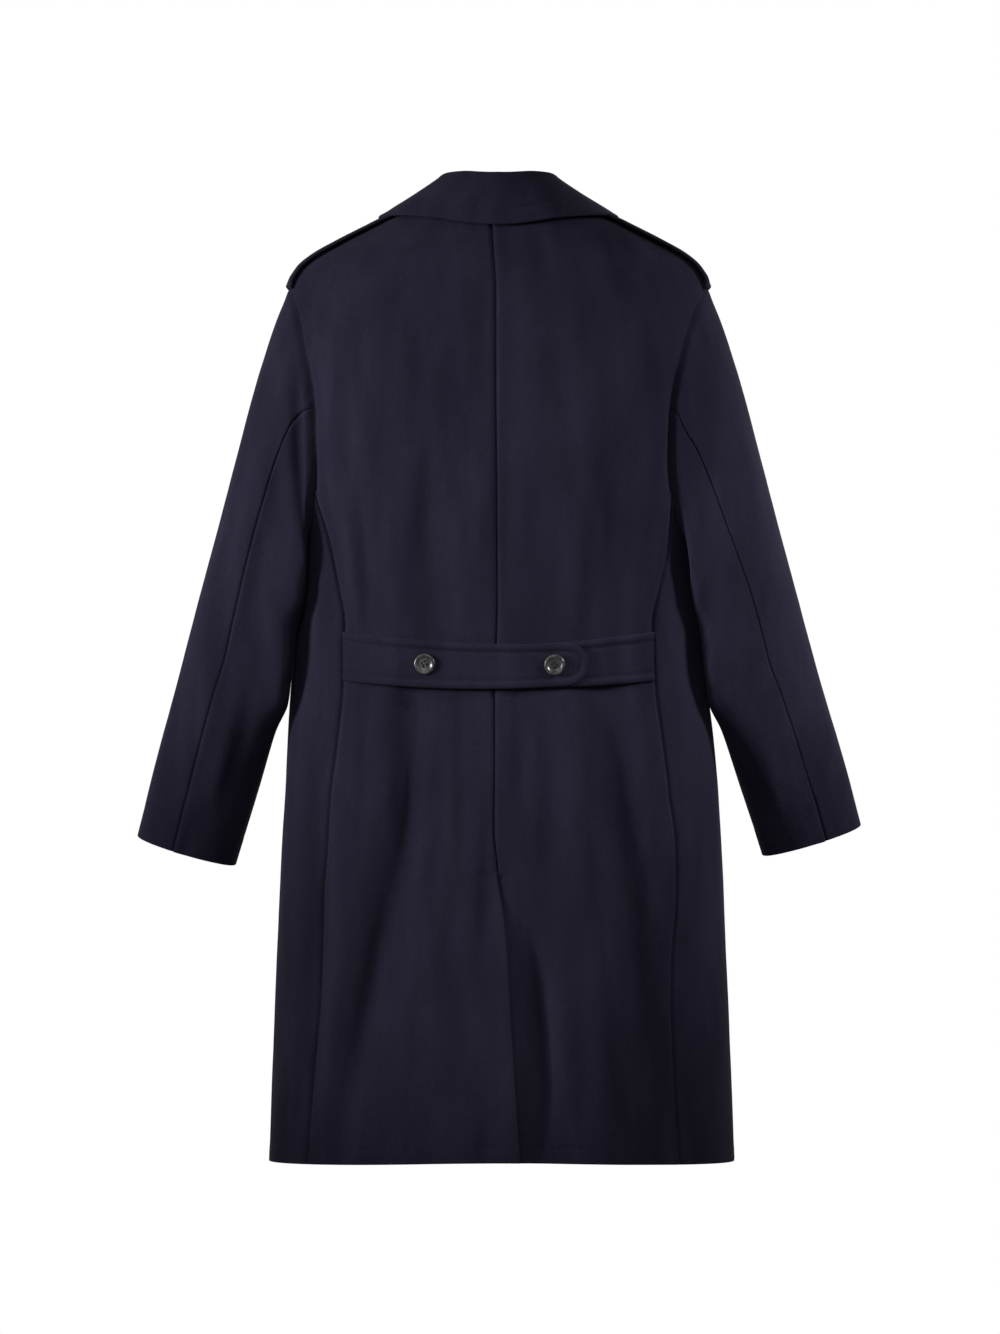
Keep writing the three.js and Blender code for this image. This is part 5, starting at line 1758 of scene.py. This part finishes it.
@dataclass
class Buttons:
    """The two belt buttons and the six on the left front, with four holes and a rim."""

    panels: BodyPanels
    belt: HalfBelt
    belt_radius: float = 11.4
    front_radius: float = 13.5
    thick: float = 4.0
    hole_radius: float = 1.15
    hole_reach: float = 2.6
    hole_depth: float = 1.9
    rings: int = 46
    segments: int = 96
    front_x: float = 62.0
    front_rows: tuple[float, float, float] = (-402.0, -508.0, -614.0)
    face: Table = Table(
        "reach height",
        ((0, 0.62), (0.5, 0.63), (0.58, 0.68), (0.7, 0.88), (0.78, 0.985), (0.86, 1.0), (0.94, 0.93), (1, 0.72)),
    )

    def disc(self, radius: float) -> tuple[np.ndarray, np.ndarray]:
        """A button lying on its back round the origin.

        Args:
            radius: The button's radius.

        Returns:
            The vertices, and faces of four corners.
        """
        reach = np.linspace(0, 1, self.rings)[:, None] * radius
        reach[0] = 0.02
        turn = np.arange(self.segments)[None] * 2 * math.pi / self.segments
        x, y = reach * np.cos(turn), reach * np.sin(turn)
        tops = self.face.read("height", "reach", reach / radius) * self.thick + 0 * turn
        holes = np.zeros(x.shape)
        for k in range(4):
            spot = math.radians(45 + 90 * k)
            aside = np.hypot(x - self.hole_reach * math.cos(spot), y - self.hole_reach * math.sin(spot))
            holes += smooth((self.hole_radius + 0.25 - aside) / 0.5)
        top = np.stack([x, y, tops - self.hole_depth * holes], -1)
        side_reach = np.array([1.0, 0.97, 0.72, 0.02])[:, None] * radius
        side_height = np.array([0.7, 0.45, 0.0, 0.0])[:, None] * self.thick
        low = np.stack([side_reach * np.cos(turn), side_reach * np.sin(turn), side_height + 0 * turn], -1)
        rings = np.concatenate([top, low])
        ids = np.arange(rings.shape[0] * self.segments).reshape(rings.shape[0], self.segments)
        after = np.roll(ids, -1, axis=1)
        faces = np.stack([ids[:-1], ids[1:], after[1:], after[:-1]], -1).reshape(-1, 4)
        return rings.reshape(-1, 3), faces

    def threads(self) -> tuple[np.ndarray, np.ndarray]:
        """Two pairs of parallel threads through the holes, as vertices and faces of four corners."""
        points, faces, count = [], [], 0
        look = StitchLook(pitch=50, length=2 * self.hole_reach * math.sin(math.pi / 4) + 1.2, radius=0.42)
        reach = self.hole_reach * math.sin(math.pi / 4)
        level = 0.62 * self.thick
        for aside in (-reach - 0.3, -reach + 0.35, reach - 0.35, reach + 0.3):
            span = look.length / 2 + look.pitch / 2
            path = np.stack([np.full(2, aside), np.array([-span, span + 1]), np.full(2, level)], -1)
            path[:, 1] += 0.0
            up = np.broadcast_to(np.array([0, 0, 1.0]), path.shape)
            some, quads = look.mesh(path, up)
            points.append(some[: look.sides * 6])
            faces.append(quads[: 5 * look.sides + 4] + count)
            count += look.sides * 6
        return np.concatenate(points), np.concatenate(faces)

    def place(self, points: np.ndarray, spot: np.ndarray, normal: np.ndarray, turn: float) -> np.ndarray:
        """Stands points on a spot, facing along its normal and turned about it."""
        facing = Vector((0, 0, 1)).rotation_difference(Vector(normal))
        spin = np.array([[math.cos(turn), -math.sin(turn), 0], [math.sin(turn), math.cos(turn), 0], [0, 0, 1]])
        moved = (points @ spin.T) @ np.array(facing.to_matrix()).T
        return moved + spot

    def add_button(
        self, node: str, radius: float, spot: np.ndarray, normal: np.ndarray, turn: float, finishes: Finishes
    ) -> None:
        """Adds one button and the threads that hold it.

        Args:
            node: The node that it stands for.
            radius: Its radius.
            spot: The middle of its back.
            normal: The way it faces.
            turn: How far it is turned about its own axis.
            finishes: The coat's materials.
        """
        points, faces = self.disc(radius)
        piece = add_mesh(f"{node}_horn", self.place(points, spot, normal, turn), faces, finishes.horn)
        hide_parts(node)
        points, faces = self.threads()
        thread = add_mesh(f"{node}_thread", self.place(points, spot, normal, turn), faces, finishes.thread)

    def build(self, finishes: Finishes) -> None:
        """Builds every button."""
        lift = self.belt.lie_over + DOUBLE_CLOTH / 2 + 2 * SEAM_GAP
        for i, x in enumerate(self.belt.button_x):
            spot = SKIRT.swung(self.belt.place(np.array(x), np.array(0.0), np.array(1.0), np.array(lift)))
            normal = FORM.normal(FORM.angle_at(np.array(self.belt.z), x, 1), self.belt.z)
            self.add_button(f"belt_button_{i + 1}", self.belt_radius, spot, normal, 0.35 + 1.9 * i, finishes)
        for row, z in enumerate(self.front_rows):
            for column, x in enumerate((self.front_x, -self.front_x)):
                angle, level = FORM.front_place(np.array(x), np.array(z))
                spot = SKIRT.swung(self.panels.on_front(Side.LEFT, np.array(x), np.array(z), 2 * SEAM_GAP))
                name = f"front_button_{row * 2 + column + 1}"
                turn = 0.6 * row + 0.9 * column
                self.add_button(name, self.front_radius, spot, FORM.normal(angle, level), turn, finishes)


@dataclass(frozen=True)
class Value:
    """An output of a shader node that takes part in arithmetic."""

    shader: Shader
    output: bpy.types.NodeSocket

    def math(self, operation: str, *others: Value | float, swap: bool = False) -> Value:
        """The value that a Math node gives.

        Args:
            operation: The node's operation.
            others: The other operands.
            swap: Whether this value comes last.

        Returns:
            The node's output.
        """
        terms = [self, *others]
        terms = terms[::-1] if swap else terms
        made = self.shader.node("ShaderNodeMath", {"operation": operation}, dict(enumerate(terms)))
        return Value(self.shader, made.outputs[0])

    def __add__(self, other: Value | float) -> Value:
        """This value and another."""
        return self.math("ADD", other)

    def __mul__(self, other: Value | float) -> Value:
        """This value times another."""
        return self.math("MULTIPLY", other)

    def __sub__(self, other: Value | float) -> Value:
        """This value less another."""
        return self.math("SUBTRACT", other)

    def __rsub__(self, other: Value | float) -> Value:
        """Another less this value."""
        return self.math("SUBTRACT", other, swap=True)

    def __pow__(self, other: Value | float) -> Value:
        """This value to a power."""
        return self.math("POWER", other)

    __radd__ = __add__
    __rmul__ = __mul__


Colour = tuple[float, float, float]


class Shader:
    """A material's node tree with one Principled shader."""

    def __init__(self, name: str) -> None:
        """Makes the material."""
        self.material = bpy.data.materials.new(name)
        self.material.use_nodes = True
        self.tree = self.material.node_tree
        self.tree.nodes.clear()
        self.surface = self.node("ShaderNodeBsdfPrincipled")
        self.node("ShaderNodeOutputMaterial", inputs={"Surface": self.surface.outputs[0]})
        self.place = self.node("ShaderNodeTexCoord").outputs["Object"]

    def node(
        self, kind: str, settings: dict[str, object] | None = None, inputs: dict[str | int, object] | None = None
    ) -> bpy.types.Node:
        """Adds any node.

        Args:
            kind: The node's type.
            settings: Its settings, which are set first. "stops" gives a ramp's places and colours.
            inputs: The values or links of its sockets.

        Returns:
            The new node.
        """
        made = self.tree.nodes.new(kind)
        for key, value in (settings or {}).items():
            if key == "stops":
                ramp = made.color_ramp.elements
                while len(ramp) < len(value):
                    ramp.new(0.5)
                for stop, (place, colour) in zip(ramp, value):
                    stop.position, stop.color = place, (*colour, 1)
            else:
                setattr(made, key, value)
        for key, value in (inputs or {}).items():
            socket = made.inputs[key]
            if isinstance(value, Value):
                self.tree.links.new(value.output, socket)
            elif isinstance(value, bpy.types.NodeSocket):
                self.tree.links.new(value, socket)
            else:
                socket.default_value = value
        return made

    def noise(self, scale: float, detail: float = 3.0, roughness: float = 0.5, stretch: Colour = (1, 1, 1)) -> Value:
        """A noise value at a scale per metre, stretched along the axes."""
        placed = self.node("ShaderNodeMapping", inputs={"Vector": self.place, "Scale": stretch})
        inputs = {"Vector": placed.outputs[0], "Scale": scale, "Detail": detail, "Roughness": roughness}
        return Value(self, self.node("ShaderNodeTexNoise", inputs=inputs).outputs["Fac"])

    def ramp(self, value: Value, stops: list[tuple[float, Colour]]) -> bpy.types.NodeSocket:
        """The colour that a ramp gives a value."""
        return self.node("ShaderNodeValToRGB", {"stops": stops}, {0: value}).outputs[0]

    def bump(self, height: Value, strength: float, distance: float) -> bpy.types.NodeSocket:
        """The normal of a bumpy surface."""
        inputs = {"Height": height, "Strength": strength, "Distance": distance}
        return self.node("ShaderNodeBump", inputs=inputs).outputs[0]

    def set(self, **values: object) -> None:
        """Sets the Principled shader's sockets, by their names with _ for a space."""
        for key, value in values.items():
            socket = self.surface.inputs[key.replace("_", " ")]
            if isinstance(value, Value):
                self.tree.links.new(value.output, socket)
            elif isinstance(value, bpy.types.NodeSocket):
                self.tree.links.new(value, socket)
            else:
                socket.default_value = value


@dataclass(frozen=True)
class Melton:
    """Heavy navy wool with a short brushed nap."""

    dark: Colour = (0.0074, 0.0067, 0.0141)
    middle: Colour = (0.0102, 0.0093, 0.0187)
    light: Colour = (0.0144, 0.0133, 0.0250)
    roughness: float = 0.92
    specular: float = 0.06
    sheen: float = 0.04
    sheen_roughness: float = 0.45
    sheen_tint: Colour = (0.42, 0.42, 0.62)
    nap_per_metre: float = 620.0
    fibre_per_metre: float = 1900.0

    def make(self) -> bpy.types.Material:
        """Makes the material."""
        shader = Shader("navy_melton")
        cloud = shader.noise(30.0, 3.0, 0.55, (1, 1, 0.22))
        nap = shader.noise(self.nap_per_metre, 3.0, 0.62, (1, 1, 0.6))
        fibre = shader.noise(self.fibre_per_metre, 2.0, 0.6, (1, 1, 0.35))
        tone = cloud * 0.4 + nap * 0.34 + fibre * 0.26
        stops = [(0.4, self.dark), (0.5, self.middle), (0.62, self.light)]
        height = nap * 0.6 + fibre * 0.4
        shader.set(
            Base_Color=shader.ramp(tone, stops),
            Roughness=1.0 - cloud * 0.12,
            Specular_IOR_Level=self.specular,
            Sheen_Weight=self.sheen,
            Sheen_Roughness=self.sheen_roughness,
            Sheen_Tint=(*self.sheen_tint, 1),
            Normal=shader.bump(height, 0.55, 0.0009),
        )
        return shader.material


@dataclass(frozen=True)
class Horn:
    """Dark grey horn with pale and dark streaks, polished."""

    dark: Colour = (0.003, 0.003, 0.0032)
    middle: Colour = (0.009, 0.009, 0.0095)
    light: Colour = (0.055, 0.054, 0.056)
    coat: float = 0.35
    coat_roughness: float = 0.15

    def make(self) -> bpy.types.Material:
        """Makes the material."""
        shader = Shader("grey_horn")
        streak = shader.noise(150.0, 5.0, 0.6, (1, 1, 0.3))
        grain = shader.noise(900.0, 2.0)
        stops = [(0.36, self.dark), (0.5, self.middle), (0.68, self.light)]
        shader.set(
            Base_Color=shader.ramp(streak * 0.8 + grain * 0.2, stops),
            Roughness=0.32 + streak * 0.16,
            Specular_IOR_Level=0.5,
            Coat_Weight=self.coat,
            Coat_Roughness=self.coat_roughness,
            Normal=shader.bump(grain, 0.12, 0.0002),
        )
        return shader.material


@dataclass(frozen=True)
class Thread:
    """Twisted navy thread, a little smoother than the cloth."""

    dark: Colour = (0.003, 0.003, 0.006)
    light: Colour = (0.008, 0.008, 0.013)

    def make(self) -> bpy.types.Material:
        """Makes the material."""
        shader = Shader("navy_thread")
        twist = shader.noise(2400.0, 1.0)
        shader.set(
            Base_Color=shader.ramp(twist, [(0.35, self.dark), (0.65, self.light)]),
            Roughness=0.6 + twist * 0.2,
            Specular_IOR_Level=0.25,
            Normal=shader.bump(twist, 0.3, 0.0002),
        )
        return shader.material


@dataclass(frozen=True)
class Lamp:
    """A square soft light that points at a spot of the coat."""

    name: str
    place: Colour
    aim: Colour
    side: float
    power: float
    spread: float

    def add(self) -> None:
        """Adds the light."""
        data = bpy.data.lights.new(self.name, "AREA")
        data.shape = "SQUARE"
        data.size = self.side
        data.energy = self.power
        data.spread = self.spread
        lamp = bpy.data.objects.new(self.name, data)
        lamp.location = self.place
        lamp.rotation_euler = (Vector(self.aim) - Vector(self.place)).to_track_quat("-Z", "Y").to_euler()
        lamp.visible_camera = False
        bpy.context.scene.collection.objects.link(lamp)


@dataclass
class Studio:
    """A pale floor, a white surround, soft lights and the camera."""

    floor_z: float = -1.5
    floor_radius: float = 1.9
    floor_sides: int = 128
    surround: float = 1.0
    white_until: float = -0.92
    grey_from: float = -0.6
    grey: float = 0.19
    camera_y: float = 8.0
    camera_x: float = -0.00165
    camera_z: float = -0.519
    lens: float = 196.3
    sensor: float = 36.0
    lamps: tuple[Lamp, ...] = field(
        default_factory=lambda: (
            Lamp("key", (2.55, 1.3, 0.0), (-0.3, 0.1, -0.4), 0.5, 5.3, 0.58),
            Lamp("fill", (0.35, 2.7, 0.9), (-0.05, 0.0, -0.52), 1.0, 2.95, 1.0),
            Lamp("edge", (-2.4, 0.9, 0.7), (-0.46, 0.0, -0.36), 0.5, 2.4, 0.42),
            Lamp("low", (2.6, 1.2, -0.8), (-0.14, 0.13, -0.92), 0.15, 0.15, 0.16),
            Lamp("front", (-1.6, -3.2, 1.2), (0.0, 0.0, -0.5), 1.8, 12, 2.4),
        )
    )

    def add_floor(self) -> None:
        """Adds the pale floor."""
        shader = Shader("pale_floor")
        shade = shader.noise(3.0, 2.0)
        stops = [(0.3, (0.86, 0.86, 0.86)), (0.7, (0.9, 0.9, 0.9))]
        shader.set(Base_Color=shader.ramp(shade, stops), Roughness=0.9 + shade * 0.05, Specular_IOR_Level=0.1)
        turns = np.arange(self.floor_sides) * 2 * math.pi / self.floor_sides
        across, along = self.floor_radius * np.cos(turns), self.floor_radius * np.sin(turns)
        rim = np.stack([across, along, np.full(self.floor_sides, self.floor_z)], -1)
        mesh = bpy.data.meshes.new("floor")
        mesh.from_pydata(rim.tolist(), [], [tuple(range(self.floor_sides))])
        mesh.materials.append(shader.material)
        floor = bpy.data.objects.new("floor", mesh)
        bpy.context.scene.collection.objects.link(floor)
        floor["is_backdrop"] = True

    def add_surround(self) -> None:
        """Sets the surround: white in front of the coat, and greyer behind its back."""
        world = bpy.data.worlds.new("surround")
        world.use_nodes = True
        tree = world.node_tree
        background = tree.nodes["Background"]
        place = tree.nodes.new("ShaderNodeTexCoord")
        parts = tree.nodes.new("ShaderNodeSeparateXYZ")
        ramp = tree.nodes.new("ShaderNodeValToRGB")
        ramp.color_ramp.elements[0].position = (1 + self.white_until) / 2
        ramp.color_ramp.elements[0].color = (1, 1, 1, 1)
        ramp.color_ramp.elements[1].position = (1 + self.grey_from) / 2
        ramp.color_ramp.elements[1].color = (self.grey, self.grey, self.grey, 1)
        tree.links.new(place.outputs["Generated"], parts.inputs[0])
        half = tree.nodes.new("ShaderNodeMath")
        half.operation = "MULTIPLY_ADD"
        half.inputs[1].default_value = 0.5
        half.inputs[2].default_value = 0.5
        tree.links.new(parts.outputs["Y"], half.inputs[0])
        tree.links.new(half.outputs[0], ramp.inputs[0])
        tree.links.new(ramp.outputs[0], background.inputs["Color"])
        background.inputs["Strength"].default_value = self.surround
        bpy.context.scene.world = world
        bpy.context.scene.view_settings.view_transform = "Standard"

    def add_camera(self) -> None:
        """Adds the camera, straight behind the coat."""
        data = bpy.data.cameras.new("camera")
        data.lens = self.lens
        data.sensor_width = self.sensor
        camera = bpy.data.objects.new("camera", data)
        camera.location = (self.camera_x, self.camera_y, self.camera_z)
        camera.rotation_euler = (QUARTER, 0, math.pi)
        bpy.context.scene.collection.objects.link(camera)
        bpy.context.scene.camera = camera

    def build(self) -> None:
        """Builds the whole studio."""
        self.add_floor()
        self.add_surround()
        self.add_camera()
        for lamp in self.lamps:
            lamp.add()


def as_lists(box: tuple[Vector, Vector]) -> list[list[float]]:
    """A box's corners as plain lists."""
    return [[float(v) for v in corner] for corner in box]


def main() -> dict[str, list[list[float]]]:
    """Loads the frame and builds the coat around it.

    Returns:
        The frame's own box.
    """
    logging.basicConfig(level=logging.INFO, format="%(name)s: %(message)s")
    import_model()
    sizes = {"cad": as_lists(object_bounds())}
    finishes = Finishes(Melton().make(), Horn().make(), Thread().make())
    panels = BodyPanels()
    belt = HalfBelt()
    panels.build(finishes)
    Sleeves().build(finishes)
    Lapels(panels).build(finishes)
    Collar().build(finishes)
    ShoulderStraps().build(finishes)
    belt.build(finishes)
    Buttons(panels, belt).build(finishes)
    Studio().build()
    return sizes


if __name__ == "__main__":
    box_sizes = main()
    box_sizes["visual"] = as_lists(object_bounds())
